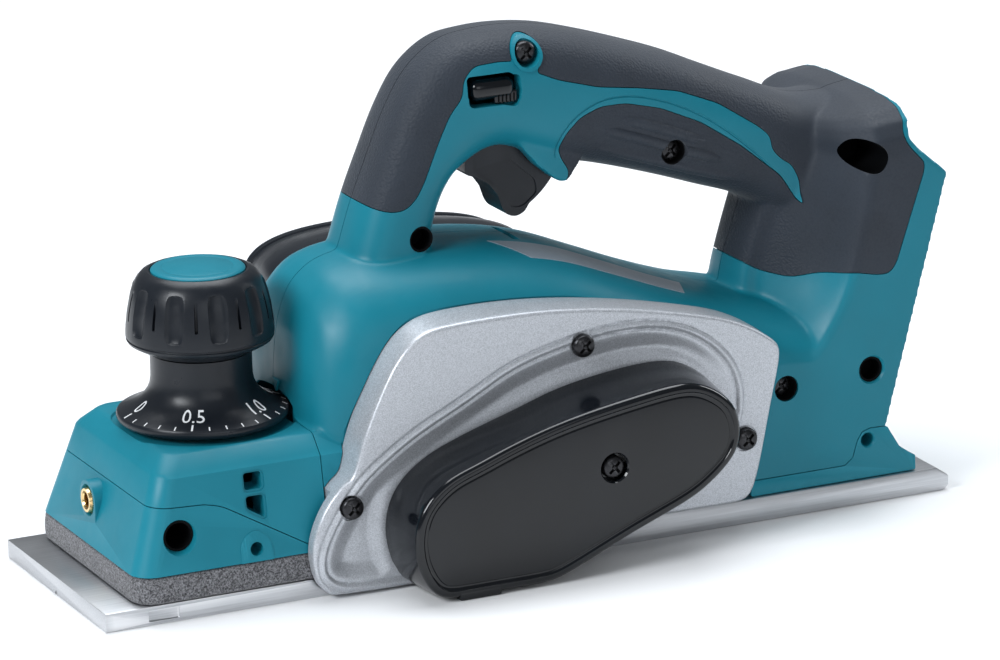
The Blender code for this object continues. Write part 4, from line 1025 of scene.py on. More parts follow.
def vents(main, tree):
    """Shallow louvres low on the right side, beside the motor."""
    for i in range(6):
        x = 30.0 + 6.5 * i
        depth = touch(tree, (x, 60, 36), (0, -1, 0)).y - 1.6
        outline = rounded([(x - 1.3, 24), (x + 1.3, 24), (x + 4.3, 42), (x + 1.7, 42)], 1.2)
        main = cut(main, slab("louvre", outline, depth, 60))
    return main


def tilted_ellipse(half_u, half_v, tilt, count=40):
    c, s = math.cos(math.radians(tilt)), math.sin(math.radians(tilt))
    return [(u * c - v * s, u * s + v * c) for u, v in superellipse(half_u, half_v, 2.3, count)]


def catmull_region():
    """Grip region with its corners softened."""
    return rounded(GRIP_REGION, 2.2, 4)


def boot_seam():
    """Hairline across the boot where its smooth moulding meets the grained one."""
    line = [(84.4, 74.0), (88.9, 86.4), (90.6, 92.0)]
    return [(x - 0.12, z) for x, z in line] + [(x + 0.12, z) for x, z in reversed(line)]


def engrave(main, tree):
    """Fine line cut in the teal beside the lower grip patch."""
    path = [(20.6, 119.6), (20.5, 124.6), (22.6, 129.4), (26.9, 133.6), (33.1, 136.6), (39.4, 137.6),
            (47.2, 136.9), (56.9, 134.0), (66.0, 129.9), (75.8, 123.8), (85.6, 115.9), (94.2, 107.4),
            (100.6, 99.4)]
    for side in (-1, 1):
        line = [touch(tree, (x, side * 60, z), (0, -side, 0)) for x, z in catmull(path, 3, closed=False)]
        main = cut(main, tube("engraving", [p for p in line if p is not None], 0.35, 8))
    return main


# ---------------------------------------------------------------- side plate and belt cover

COVER_BASE = [
    (-8.5, 1), (-4.5, 1.5), (5, 5.2), (19.6, 11.2), (31.5, 15.7), (43, 20.2), (51.5, 25.6), (57.8, 32),
    (60, 39.3), (59.8, 46), (58.3, 49.8), (54.2, 53.7), (47.3, 58), (40.4, 59.5), (26.5, 59.1),
    (5.9, 56), (-9.7, 51.2), (-23.8, 47), (-35, 43.1), (-39.6, 41.1), (-43.8, 38.4), (-46.7, 36.4),
    (-49.7, 33.3), (-52.1, 29.8), (-53.3, 26.2), (-54.4, 20.8), (-54.1, 16.3), (-52.9, 11.1),
    (-51, 5.8), (-48.9, 2.2), (-45.5, 1), (-40, 1), (-28, 1), (-16, 1),
]
COVER_FRONT = [
    (-9.5, 1), (-5.4, 1.6), (5, 5.8), (19.6, 12), (31, 16.4), (42.3, 21), (50, 26.3), (56.3, 32.5),
    (58.1, 39.3), (56.9, 46), (55, 49.6), (51.7, 52.5), (44.8, 56.6), (38.6, 57.6), (29, 56.9),
    (7.5, 53.7), (-8.4, 50.3), (-21.9, 46.2), (-31.7, 42.6), (-39, 40.3), (-43, 38.2), (-46.5, 35.4),
    (-49.7, 32.2), (-51.7, 28.6), (-52.8, 25), (-53.3, 20.6), (-53, 15.9), (-51.9, 11.2), (-49.3, 6.1),
    (-46.8, 2.4), (-43.5, 1), (-39, 1), (-28, 1), (-17, 1),
]
RIDGE = [
    (-73.6, 3.6), (-40, 2.8), (0, 6), (60, 28), (66.6, 33.5), (68, 37.5), (68.2, 43), (68, 50.5),
    (65.2, 56.2), (60.7, 61.5), (53.9, 66.7), (46.4, 70.2), (38.7, 72), (29, 72.6), (19.4, 72.1),
    (5.7, 69.7), (-4.5, 67.3), (-14.8, 63.9), (-21.1, 59.6), (-33.7, 53.6), (-44.2, 48.8),
    (-53.7, 42.4), (-62.6, 36.4), (-68.6, 27.8), (-74.6, 18.8), (-76.6, 11.5),
]


def relief_solid(name, x_range, z_range, step, depth_at, back):
    """Block whose near side is the surface y = depth_at(x, z)."""
    xs = np.arange(x_range[0], x_range[1] + step, step)
    zs = np.arange(z_range[0], z_range[1] + step, step)
    grid_x, grid_z = np.meshgrid(xs, zs)
    grid_y = depth_at(grid_x, grid_z)
    rows, cols = grid_x.shape
    verts = np.stack([grid_x, grid_y, grid_z], -1).reshape(-1, 3).tolist()
    faces = [(r * cols + c, r * cols + c + 1, (r + 1) * cols + c + 1, (r + 1) * cols + c)
             for r in range(rows - 1) for c in range(cols - 1)]
    border = (list(range(cols)) + [r * cols + cols - 1 for r in range(1, rows)]
              + [(rows - 1) * cols + c for c in range(cols - 2, -1, -1)]
              + [r * cols for r in range(rows - 2, 0, -1)])
    first = len(verts)
    verts += [(verts[i][0], back, verts[i][2]) for i in border]
    count = len(border)
    for k in range(count):
        j = (k + 1) % count
        faces.append((border[j], border[k], first + k, first + j))
    mesh = bpy.data.meshes.new(name)
    mesh.from_pydata([tuple(c * MM for c in v) for v in verts], [], faces)
    work = bmesh.new()
    work.from_mesh(mesh)
    edge = [e for e in work.edges if e.is_boundary]
    bmesh.ops.triangulate(work, faces=bmesh.ops.contextual_create(work, geom=edge)["faces"])
    bmesh.ops.recalc_face_normals(work, faces=work.faces)
    work.to_mesh(mesh)
    work.free()
    return link(bpy.data.objects.new(name, mesh))


def smooth_step(value, low, high):
    t = np.clip((value - low) / (high - low), 0, 1)
    return t * t * (3 - 2 * t)


def plate_surface(x, z):
    """Y of the side plate's face: a raised ridge, and a dish between the ridge and the belt cover."""
    ridge = outline_distance(x, z, smoothed(resample(catmull(RIDGE, 4), 1.5), 40))
    cover = outline_distance(x, z, COVER_BASE)
    bead = 0.65 * np.cos(np.pi / 2 * np.clip(np.abs(ridge) / 1.05, 0, 1))
    grooves = 0.30 * np.exp(-((np.abs(ridge) - 1.4) / 0.36) ** 2)
    dish = 2.2 * smooth_step(ridge, 1.6, 8.0) - 1.0 * smooth_step(cover, -6.0, -0.5)
    dish = np.where(ridge > 0, np.maximum(dish, 0), 0)
    return PLATE_FACE - bead + grooves + dish


def build_side_plate():
    planes = [(-46.9, 0, 1.15), (-46.02, 0, 1), (-45.86, 0, 0.6), (-45.5, 0.02, 0.2), (-45, 0.06, 0),
              (-43.4, 0.2, 0), (-41, 0.45, 0), (-38, 0.75, 0), (-35.6, 0.95, 0), (-34.4, 1, 0.1),
              (-34, 1, 0.6)]
    plate = loft("plate", plate_rings(0, planes))
    plate = common(plate, relief_solid("relief", (-92, 88), (-4, 90), 0.45, plate_surface, -30))
    inner = plate_rings(-3.2, [(-41.6, 0, 0), (-37, 0.7, 0), (-30, 1.0, 0)])
    plate = cut(plate, loft("plate_inside", inner), box("sole_room", (-90, -42.2, -5), (90, 0, 12.4)),
                box("block_room", (-100, -41.8, -5), (-70.6, 0, 90)))
    for axis, radius, back in ((DRUM_AXIS, 13.5, -41.8), (MOTOR_AXIS, 13.5, -36.0)):
        plate = join(plate, along_y("boss", axis, -49.5, back, radius, 64))
    plate = cut(plate, along_y("drum_seat", DRUM_AXIS, -60, -30, 11.3, 64),
                along_y("motor_seat", MOTOR_AXIS, -60, -30, 11.3, 64),
                along_y("bore", SCREW_SPOTS["cover_screw"][0], -60, -20, 2.3, 24))
    for name in ("plate_screw_top", "plate_screw_front", "plate_screw_rear"):
        axis, head_y, _ = SCREW_SPOTS[name]
        plate = cut(plate, screw_hole(axis, head_y, -20, 4.25))
    dress(tidy(plate), "cast", replaces=["side_plate"], name="side_plate_casting")


def cover_line(outline):
    """One of the belt cover's outlines, smooth and with the same number of points for both."""
    line = resample(catmull(outline, 6), 0.9)
    count = 260
    return smoothed([line[int(i * len(line) / count)] for i in range(count)], 22)


def build_belt_cover():
    base, front = np.array(cover_line(COVER_BASE)), np.array(cover_line(COVER_FRONT))

    def ring(y, share, depth=0.0):
        line = [tuple(p) for p in base * (1 - share) + front * share]
        return [(x, y, z) for x, z in (clean_inset(line, depth) if depth else line)]

    shell = loft("cover", [ring(-44.75, 0, 0.25), ring(-45.1, 0), ring(-50, 0.2), ring(-58, 0.62),
                           ring(-64.3, 1), ring(-64.9, 1, 0.12), ring(-65.5, 1, 0.5), ring(-65.87, 1, 1.0),
                           ring(-66, 1, 1.6)])
    shell = cut(shell, loft("panel_room", [ring(-68, 1, 2.3), ring(-65.95, 1, 2.35), ring(-65.75, 1, 2.5),
                                           ring(-65.45, 1, 2.8), ring(-65.25, 1, 3.2)]))
    shell = join(shell, loft("panel", [ring(-64.0, 1, 3.9), ring(-65.3, 1, 3.9), ring(-65.5, 1, 4.1),
                                       ring(-65.6, 1, 4.5)]))
    shell = cut(shell, loft("cover_inside", [ring(-40, 0, 2.6), ring(-50, 0.2, 2.6), ring(-63.0, 1, 2.6)]))
    axis, head_y, _ = SCREW_SPOTS["cover_screw"]
    shell = join(shell, along_y("post", axis, -64.4, -50, 6.2, 48),
                 soften(box("tab", (-39.0, -66.0, 0.1), (-25.0, -58.0, 3.0)), 0.5))
    shell = cut(shell, along_y("well", axis, -80, head_y + 2.9, 4.5, 48),
                along_y("well_lead", axis, -66.6, -64.9, 5.6, 48, 4.4),
                along_y("bore", axis, -66, -45, 2.3, 24))
    dress(tidy(shell), "gloss", replaces=["belt_cover"], name="belt_cover_shell")


def build_screws():
    """Domed cross-recessed screws; each spot is (axis, height of the head's face, length)."""
    for name, (axis, head_y, length) in SCREW_SPOTS.items():
        top = [(0, -0.30), (1.3, -0.27), (2.4, -0.12), (3.1, 0.20), (3.5, 0.7), (3.65, 1.3), (3.65, 2.3),
               (3.4, 2.6), (1.9, 2.6), (1.9, length)]
        item = revolve(name, [(r, head_y + h) for r, h in top] + [(0, head_y + length)], axis, 48, "Y")
        for turn in (45, 135):
            blade = box("cross", (-2.4, head_y - 2, -0.5), (2.4, head_y + 1.5, 0.5))
            blade.data.transform(Matrix.Translation((axis[0] * MM, 0, axis[1] * MM))
                                 @ Matrix.Rotation(math.radians(turn), 4, "Y"))
            item = cut(item, blade)
        item = cut(item, along_y("centre", axis, head_y - 1, head_y + 1.9, 1.15, 20, 0.5))
        dress(item, "screw", replaces=[name], name=name + "_domed")


# ---------------------------------------------------------------- front: soles, seal, insert, knob

def build_soles():
    rear = slab("rear", [(-15.5, 0), (143.2, 0), (144.9, 1.4), (144.9, 4.9), (140.4, 8.0), (-3.5, 8.0)],
                -HALF_SOLE, HALF_SOLE)
    rear = soften(rear, 0.5, 2, 20)
    dress(cut(rear, box("foot_slot", (109, 14, -2), (141, 28, 20), 1.2)), "sole", replaces=["rear_base"],
          name="rear_sole_plate")

    front = slab("front", [(-145, 0), (-36.4, 0), (-36.2, 0.5), (-43.6, 6.0), (-145, 6.0)],
                 -HALF_SOLE, HALF_SOLE)
    front = soften(front, 0.5, 2, 40)
    groove = loft("groove", [[(x, -1.6, -0.4), (x, 1.6, -0.4), (x, 0, 1.7)] for x in (-150, -30)])
    front = cut(front, groove, soften(box("mark", (-131, -45, 1.2), (-121, -HALF_SOLE + 0.6, 4.8)), 0.4))
    front = join(front, revolve("boss", [(0, 4), (12, 4), (12, 12.4), (11.4, 13), (0, 13)], (KNOB_X, 0)))
    front = cut(front, rod("boss_bore", (KNOB_X, 0, 3), (KNOB_X, 0, 20), 5.6))
    dress(front, "sole", "front_base", ["front_base"], name="front_sole_plate")


def build_seal():
    """Foam strip squeezed between the front sole and the housing over it."""
    def ring(z, out):
        return block_ring(z, -134.0 - out, 41.2 + out, 7.0 + out, -71.4)

    outer = loft("seal", [ring(6.3, -0.3), ring(6.8, 0.15), ring(8.6, 0.35), ring(10.4, 0.4),
                          ring(12.4, 0.3), ring(14.0, 0.1), ring(14.5, -0.4)])
    hole = loft("seal_hole", [block_ring(z, -126.5, 34.0, 4.0, -77.0)
                              for z in (5.5, 8.5, 10.5, 12.5, 15.5)])
    seal = modify(cut(outer, hole), "SUBSURF", levels=1, render_levels=1, subdivision_type="SIMPLE")
    lumps = bpy.data.textures.new("lumps", "CLOUDS")
    lumps.noise_scale = 0.0022
    seal = modify(seal, "DISPLACE", texture=lumps, strength=0.00035, mid_level=0.5)
    keep_between(seal, 6.3, 14.5)
    dress(seal, "foam", None, ["foam_seal"], name="foam_seal_strip", smooth=60.0)
    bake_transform(seal)


def keep_between(item, low, high):
    for v in item.data.vertices:
        v.co.z = min(max(v.co.z, low * MM), high * MM)


def build_insert():
    profile = [(2.4, 122.6), (4.05, 122.6), (4.05, 131.7), (3.8, 132.2), (3.7, 132.6), (2.9, 132.6),
               (2.4, 132.0)]
    threads = [(2.4 + 0.25 * (i % 2), 131.4 - 0.8 * i) for i in range(10)]
    item = revolve("insert", profile + threads, (0, 0), 96)
    item.data.transform(Matrix.Translation((0, INSERT_Y * MM, INSERT_Z * MM))
                        @ Matrix.Rotation(math.radians(-90), 4, "Y"))
    dress(item, "brass", replaces=["brass_insert"], name="threaded_brass_insert")


def turned_about_knob(item, degrees):
    """Turn a piece made on the camera side of the knob round the knob's axis."""
    shift = Matrix.Translation((KNOB_X * MM, 0, 0))
    item.data.transform(shift @ Matrix.Rotation(math.radians(degrees), 4, "Z") @ shift.inverted())
    return item


DIAL = [
    (15.7, 71.1), (15.7, 66), (15.75, 63.5), (16.1, 61.2), (17, 59), (18.6, 57), (20.8, 55.3),
    (23.4, 54), (25.4, 53.2), (26.35, 52.75), (26.7, 52.2), (26.75, 51.4), (26.45, 50.6), (25.9, 50.1),
]


def on_dial(radius, degrees, lift):
    """Point lifted off the dial's flare."""
    flare = DIAL[3:10]
    radii, heights = zip(*flare)
    z = np.interp(radius, radii, heights)
    slope = (np.interp(radius + 0.3, radii, heights) - np.interp(radius - 0.3, radii, heights)) / 0.6
    lean = 1 / math.hypot(1, slope)
    out, a = radius - slope * lean * lift, math.radians(degrees)
    return KNOB_X + out * math.cos(a), out * math.sin(a), z + lean * lift


def dial_tick(degrees, inner, outer, half_width):
    """Printed line on the dial's flare."""
    radii = np.linspace(inner, outer, 5)
    rings = []
    for r in radii:
        spread = math.degrees(half_width / r)
        rings.append([on_dial(r, degrees - spread, -0.2), on_dial(r, degrees + spread, -0.2),
                      on_dial(r, degrees + spread, 0.06), on_dial(r, degrees - spread, 0.06)])
    return loft("tick", rings)


def dial_number(text, degrees):
    curve = bpy.data.curves.new("number", "FONT")
    curve.body = text
    curve.size = 6.0
    curve.align_x = "CENTER"
    curve.extrude = 0.13
    curve.resolution_u = 4
    item = link(bpy.data.objects.new("number", curve))
    mesh = bpy.data.meshes.new_from_object(item)
    bpy.data.objects.remove(item, do_unlink=True)
    work = bmesh.new()
    work.from_mesh(mesh)
    bmesh.ops.remove_doubles(work, verts=work.verts, dist=1e-5)
    bmesh.ops.triangulate(work, faces=work.faces)
    long_edges = [e for e in work.edges if e.calc_length() > 0.9]
    bmesh.ops.subdivide_edges(work, edges=long_edges, cuts=1)
    for v in work.verts:
        radius = 22.5 - v.co.y
        turn = degrees + math.degrees(v.co.x / 20.5)
        v.co = Vector(on_dial(radius, turn, v.co.z - 0.07)) * MM
    bmesh.ops.triangulate(work, faces=work.faces)
    work.to_mesh(mesh)
    work.free()
    return link(bpy.data.objects.new("number", mesh))


HEAD = [
    (15, 96.9), (15.8, 97), (17.4, 96.3), (18.9, 94.7), (20.4, 92.2), (21.4, 88.9), (22.2, 85),
    (22.75, 80.6), (22.9, 77.6), (22.9, 76.7), (22.45, 76.45), (22.45, 76.1), (22.8, 75.8),
    (22.3, 74.9), (20.6, 73.9), (18.2, 72.6), (16.4, 71.7), (15.4, 71.4),
]


def flute_tool():
    """Soft-ended scoop that follows the knob head's side."""
    radii, heights = zip(*HEAD[:0:-1])
    rings = []
    for t in np.linspace(-0.995, 0.995, 17):
        z = 86.2 + 7.9 * t
        size = (1 - abs(t) ** 4.5) ** (1 / 4.5)
        middle = np.interp(z, heights, radii) + 2.0
        rings.append([(middle + u, v, z) for u, v in superellipse(3.15 * size, 3.7 * size, 2.6, 28)])
    return loft("flute_tool", rings)


def build_knob():
    head = revolve("head", [(0, 96.2), (14.9, 96.2), *HEAD, (0, 71.4)], (KNOB_X, 0), 160)
    slots = []
    for i in range(10):
        flute = flute_tool()
        flute.data.transform(Matrix.Translation((KNOB_X * MM, 0, 0))
                             @ Matrix.Rotation(math.radians(-97 + 36 * i), 4, "Z"))
        head = cut(head, flute)
        slot = soften(box("slot", (KNOB_X + 20.6, -0.5, 82.4), (KNOB_X + 27, 0.5, 94.2)), 0.3)
        slots.append(turned_about_knob(slot, -115 + 36 * i))
    head = cut(soften(head, 0.45, 3, 32), *slots)
    head = cut(head, rod("socket", (KNOB_X, 0, 60), (KNOB_X, 0, 92), 5.3))
    dress(head, "dark", "depth_knob", ["knob_head"], name="knob_head_fluted")

    dial = revolve("dial", [(5.3, 71.1), *DIAL, (5.3, 50.1)], (KNOB_X, 0), 128)
    dress(dial, "dark", "depth_knob", ["knob_dial"], name="knob_dial_flared")
    cap = revolve("cap", [(0, 97.75), (10.6, 97.75), (11.0, 97.6), (11.4, 97.75), (13.3, 97.7),
                          (14.1, 97.45), (14.55, 97.0), (14.6, 96.5), (0, 96.5)], (KNOB_X, 0))
    dress(cap, "teal", "depth_knob", ["knob_cap"], name="knob_cap_disc")

    ticks = []
    for i in range(21):
        inner, half = (24.5, 0.2) if i % 5 else (23.4, 0.28)
        ticks.append(dial_tick(180 + 12 * i, inner, 26.0, half))
    numbers = [dial_number(text, 180 + 60 * i) for i, text in enumerate(("0", "0.5", "1.0", "1.5", "2.0"))]
    dress(merge("dial_scale", ticks + numbers), "dark", "depth_knob", mat=WHITE_INK, name="dial_scale_ink")

    path = []
    coils, per_coil = 4, 28
    for i in range(coils * per_coil + 1):
        a, share = 2 * math.pi * i / per_coil, i / (coils * per_coil)
        path.append((KNOB_X + 8 * math.cos(a), 8 * math.sin(a), 14.3 + 29.2 * share))
    spring = tube("spring", path, 1.0, 12)
    dress(spring, "steel", None, ["knob_spring"], name="knob_spring_coil", smooth=60.0)
    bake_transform(spring)


# ---------------------------------------------------------------- controls, right side and rear

def build_hole_shade_cups():
    """Near-black blind cups inside the open holes in the near sides: painted shade where their insides lie
    in shadow.
    """
    for name, axis, mouth, depth, radius in (("side_hole_shade_cup", SIDE_HOLE, -39.0, 6.4, 4.1),
                                             ("leg_hole_shade_cup", LEG_HOLE, -16.4, 7.6, 4.0),
                                             ("fence_hole_shade_cup", FENCE_HOLE, -38.0, 16, 4.8)):
        wall = radius - 0.7
        shade_cup = revolve(name, [(0, mouth + depth), (radius, mouth + depth), (radius, mouth), (wall, mouth),
                             (wall, mouth + depth - 0.8), (0, mouth + depth - 0.8)], axis, 48, "Y")
        dress(shade_cup, "dark", mat=HOLE_SHADE, name=name)
    # Near-black sleeves in two screw pockets: painted shade over the pocket walls.
    for name in ("handle_screw_rear", "housing_screw"):
        axis, head_y, _ = SCREW_SPOTS[name]
        mouth = -16.6 if name == "handle_screw_rear" else -39.2
        shade_sleeve = revolve(name, [(4.15, mouth), (4.15, head_y + 2.6), (3.8, head_y + 2.6), (3.8, mouth)],
                         axis, 48, "Y")
        dress(shade_sleeve, "dark", mat=HOLE_SHADE, name=name + "_shade_sleeve")


def build_trigger():
    pivot = TRIGGER_PIVOT
    outline = [(-7.2, 116.4), (-3, 114.9), (1.2, 112.2), (4.2, 108.2), (5.4, 104), (7.2, 101.5),
               (10.2, 100.7), (13.2, 101.9), *arc(pivot, 30.6, -57, -36, 10), (21.6, 115),
               (16, 127), (2.6, 133.6), (-3, 134.4), (-6.4, 131.6)]
    facet = rounded([(-4.6, 117.6), (4.4, 110.2), (8.6, 103.8), (12.6, 103.6), (17.6, 107.6), (16.8, 112),
                     (8, 119.6)], 1.6)
    body = soften(slab("trigger", rounded(outline, 1.4, 4), -6.9, 6.9), 1.9, 4, 55)
    body = cut(body, along_y("pin_bore", pivot, -10, 10, 2.25, 32))
    for side in (-1, 1):
        near, far = sorted((side * 6.45, side * 9.0))
        body = cut(body, slab("facet", facet, near, far))
    dress(tidy(body), "dark", "trigger", ["trigger"], name="trigger_lever")


def build_lock_button():
    x, z = LOCK_CENTRE
    item = soften(box("button", (x - 7.6, -17.7, z - 2.9), (x + 7.3, 17.7, z + 3.7)), 2.7, 6, 50)
    item = join(item, box("lip", (x + 0.2, -17.0, z - 4.3), (x + 8.0, 17.0, z - 0.4), 0.6))
    for side in (-1, 1):
        for i in range(5):
            line = box("notch", (x + 1.2 + 1.3 * i, 16.4, z - 5.0), (x + 1.8 + 1.3 * i, 19, z - 1.3))
            line.data.transform(Matrix.Diagonal((1, side, 1, 1)))
            if side < 0:
                line.data.flip_normals()
            item = cut(item, line)
    dress(item, "gloss", "lock_button", ["lock_button"], name="lock_button_bar")


def build_nozzle():
    outer = nozzle_form(0, "nozzle")
    rows = ((84.4, 0.0), (84.8, 0.7), (87.2, 0.7), (87.8, 0.2))
    lip = loft("lip", [[(3.5 + u, y, 62.1 + v - NOZZLE_FALL * max(u, 0))
                        for u, v in superellipse(46.2 + out, 17.1 + out, 3.2, 96)] for y, out in rows])
    bore = nozzle_form(2.3, "nozzle_bore")
    bore.scale = (1, 1.2, 1)
    bore.location = (0, -0.0106, 0)
    item = cut(join(outer, lip), freeze(bore))
    dress(soften(item, 0.3, 2, 50), "dark", replaces=["chip_nozzle"], name="chip_nozzle_duct")


def hull_of_circles(first, radius_1, second, radius_2, steps=32):
    """Outline of two circles and their common tangents, anticlockwise."""
    a, b = Vector(first), Vector(second)
    along = math.degrees(math.atan2(b.y - a.y, b.x - a.x))
    spread = math.degrees(math.acos((radius_1 - radius_2) / (b - a).length))
    return (arc(b, radius_2, along - spread, along + spread, steps)
            + arc(a, radius_1, along + spread, along + 360 - spread, steps))


def build_far_cover():
    """Bearing cover on the right side, with a raised land and two hex-socket screw pockets."""
    cap = slab("cap", hull_of_circles(DRUM_AXIS, 26.8, (10, 34), 12), 36, 49.6)
    cap = soften(cap, 2.2, 5, 60)
    cap = join(cap, soften(along_y("land", DRUM_AXIS, 46, 50.5, 15.5, 72), 0.8))
    cap = cut(cap, hump_form(-0.3, -10, 3), nozzle_form(-0.3, "nozzle_seat"),
              box("sole_room", (-90, 30, -10), (90, 41.4, 8.3)),
              box("floor_room", (-90, 30, -10), (90, 60, 1.0)),
              along_y("drum_room", DRUM_AXIS, 30, 41.9, 24.2, 72),
              along_y("seat", DRUM_AXIS, 30, 48.8, 11.3, 48),
              along_y("dimple", DRUM_AXIS, 49.9, 60, 8.0, 48))
    for angle in (150, 215, 270):
        spot = arc(DRUM_AXIS, 21.4, angle, angle, 1)[0]
        if spot[1] > 3:
            cap = cut(cap, along_y("pocket", spot, 47.9, 60, 3.3, 32),
                      along_y("socket", spot, 46.4, 60, 1.5, 6))
    dress(tidy(cap), "dark", replaces=["far_bearing_cover"], name="far_bearing_cover_cap")


def build_lower_cover():
    item = soften(slab("lower_cover", rounded(LOWER_COVER, 0.6, 3), -40, 40), 0.5, 3, 50)
    item = cut(item, box("foot_bay", (96, 12, 0), (150, 30, 60)), box("inside", (70, -36, 0), (108, 9, 30)),
               along_y("foot_pin_hole", FOOT_PIN, 8, 34, 2.3, 24),
               along_y("cover_hole", COVER_PIN, -50, -30, 2.2, 32),
               along_y("cover_lead", COVER_PIN, -40.6, -39.4, 3.2, 32, 2.1))
    dress(tidy(item), "teal", replaces=["lower_rear_cover"], name="lower_rear_cover_moulding")


def build_terminal_block():
    """Block on the dock's wall, with two blade slots and three pin slots."""
    def across(*spots):
        return [(cheek_x(z) - DOCK_DEPTH + off, z) for z, off in spots]

    body = rounded(across((84, 0.3), (84, 7.0), (112, 7.0), (116, 0.3)), 0.8)
    block = soften(slab("block", body, -15, 15), 0.6, 3, 50)
    for middles, low, high, floor, half in (((-8.5, 8.5), 80, 108, 3.6, 1.4),
                                            ((-3.0, 0.0, 3.0), 90, 102, 4.6, 0.7)):
        for y in middles:
            sides = across((low, floor), (low, 9), (high, 9), (high, floor))
            block = cut(block, slab("slot", sides, y - half, y + half))
    dress(block, "dark", replaces=["terminal_block"], name="terminal_block_moulding")


def build_parking_foot():
    x, z = FOOT_PIN
    outline = [(x - 4, z - 3.6), (x - 2, 4.0), (x + 3, 1.0), (x + 19, 0.6), (x + 21, 1.6), (x + 20, 4.6),
               (x + 9, 7.0), (x + 4, z + 3.0), (x, z + 4.2), (x - 4, z + 2.6)]
    foot = soften(slab("foot", rounded(outline, 1.2), 14.8, 27.2), 0.9, 3, 50)
    foot = cut(foot, along_y("pin_bore", (x, z), 8, 34, 2.15, 32))
    for y in (18.0, 21.0, 24.0):
        foot = cut(foot, box("rib_slot", (x + 5, y - 0.5, 3.4), (x + 17.5, y + 0.5, 9)))
    dress(foot, "dark", "parking_foot", ["parking_foot"], name="parking_foot_lever")


def build_label(tree):
    """Plain printed strip along the near side of the hump."""
    top = catmull([(-2, 95.8), (16.0, 90.6), (34.0, 84.8), (50.0, 79.4), (64.5, 74.6)], 6, closed=False)
    low = catmull([(8.0, 89.2), (20.0, 85.9), (35.0, 81.4), (48.0, 77.4), (61.0, 73.2)], 6, closed=False)
    rows = []
    for (xa, za), (xb, zb) in zip(top, low):
        row = []
        for k in range(7):
            x = xa + (xb - xa) * k / 6
            y = -11.0 - 10.5 * k / 6
            spot = touch(tree, (x, y, 101), (0, 0, -1)) or Vector((x, y, za))
            row.append(spot)
        rows.append(row)
    rings = [row + [p - Vector((0, 0, 0.5)) for p in reversed(row)] for row in rows]
    strip = loft("strip", [[p + Vector((0, -0.03, 0.16)) for p in ring] for ring in rings])
    dress(strip, "dark", mat=LABEL, name="hump_label_strip")


def build_drum():
    x, z = DRUM_AXIS
    drum = join(along_y("drum", DRUM_AXIS, -40.9, 40.9, 21.5, 128),
                along_y("shaft", DRUM_AXIS, -63, 48.5, 5.0, 48))
    for low, high in ((11.0, 30.0), (-30.0, -11.0)):
        drum = cut(drum, box("pocket", (x - 9, -45, z + low), (x + 9, 45, z + high)))
    dress(soften(drum, 0.35, 2, 40), "steel", "cutter_drum", ["cutter_drum"], name="cutter_drum_turned")
    for label, side in (("a", 1), ("b", -1)):
        corners = ((-5.4, 11.4), (8.6, 11.4), (8.6, 18.6), (5.0, 20.4), (-0.6, 21.2))
        item = slab("clamp", [(x + side * u, z + side * v) for u, v in corners], -40.5, 40.5)
        bolt_x = x + side * 4.4
        for y in (-30, -10, 10, 30):
            item = cut(item, rod("bolt", (bolt_x, y, z + side * 17.5), (bolt_x, y, z + side * 26), 2.6, 32))
        dress(soften(item, 0.25, 2, 40), "steel", "cutter_drum", ["blade_clamp_" + label],
              name=f"clamp_bar_{label}")


# ---------------------------------------------------------------- build, camera and light

build_soles()
build_seal()
CASING_TREE = build_casing()
build_label(CASING_TREE)
build_side_plate()
build_belt_cover()
build_screws()
build_insert()
build_knob()
build_hole_shade_cups()
build_trigger()
build_lock_button()
build_nozzle()
build_far_cover()
build_lower_cover()
build_terminal_block()
build_parking_foot()
build_drum()
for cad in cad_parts.values():
    if not cad.hide_render:
        slot_name = cad.data.materials[0].name.split(".")[0]
        cad.data.materials[0] = MATERIALS[slot_name]


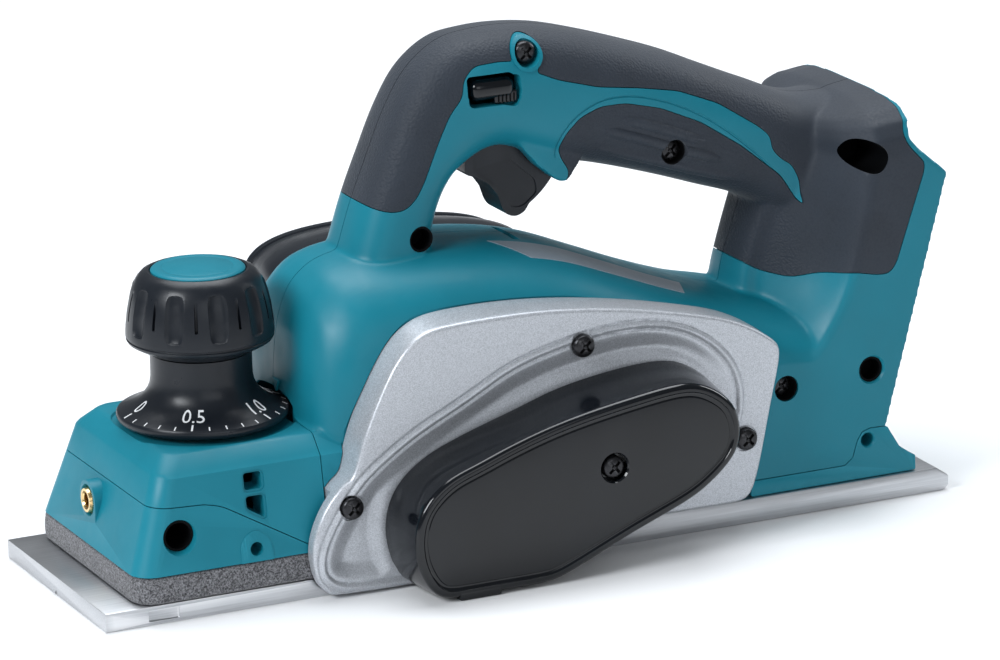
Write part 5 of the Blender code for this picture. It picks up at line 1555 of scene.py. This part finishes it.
def area_light(name, place, aim, size, power, spread=180):
    data = bpy.data.lights.new(name, "AREA")
    data.shape = "RECTANGLE"
    data.size, data.size_y = size
    data.energy = power
    data.spread = math.radians(spread)
    data.color = (0.93, 0.965, 1.0)
    lamp = link(bpy.data.objects.new(name, data))
    lamp.location = place
    lamp.rotation_euler = (Vector(aim) - Vector(place)).to_track_quat("-Z", "Y").to_euler()


def build_stage():
    scene = bpy.context.scene
    floor = link(bpy.data.objects.new("floor", bpy.data.meshes.new("floor")))
    floor.data.from_pydata([(-4, -4, 0), (4, -4, 0), (4, 4, 0), (-4, 4, 0)], [], [(0, 1, 2, 3)])
    pale = new_material("floor", (0.88, 0.88, 0.885), 0.6)
    pale_tone = ramp(pale, noise(pale, place(pale), 2.0), (0.87, 0.87, 0.875), (0.90, 0.90, 0.905))
    floor.data.materials.append(finish_material(pale, pale_tone))

    world = bpy.data.worlds.new("studio")
    scene.world = world
    world.use_nodes = True
    world.node_tree.nodes["Background"].inputs["Color"].default_value = (0.90, 0.95, 1.0, 1)
    world.node_tree.nodes["Background"].inputs["Strength"].default_value = 0.20
    area_light("key", (-1.5, -0.45, 1.1), (0, 0, 0.06), (0.7, 0.7), 23)
    area_light("front", (-0.2, -2.3, 0.9), (0, 0, 0.06), (1.8, 1.1), 9)
    area_light("top", (0.1, 0.4, 1.5), (0, 0, 0.05), (1.4, 1.0), 27)
    area_light("rim", (1.3, 0.1, 0.7), (0, 0, 0.08), (0.4, 0.7), 7)
    scene.view_settings.view_transform = "Standard"

    yaw, pitch, roll = 0.4371, 0.2855, -0.0218
    ahead = Vector((math.sin(yaw) * math.cos(pitch), math.cos(yaw) * math.cos(pitch), -math.sin(pitch)))
    right = Vector((math.cos(yaw), -math.sin(yaw), 0))
    up = right.cross(ahead)
    right, up = (math.cos(roll) * right + math.sin(roll) * up,
                 -math.sin(roll) * right + math.cos(roll) * up)
    data = bpy.data.cameras.new("camera")
    data.lens = 219.34
    data.sensor_width = 36.0
    camera = link(bpy.data.objects.new("camera", data))
    camera.matrix_world = (Matrix.Translation((-0.76910, -1.66096, 0.60069))
                           @ Matrix((right, up, -ahead)).transposed().to_4x4())
    scene.camera = camera


build_stage()
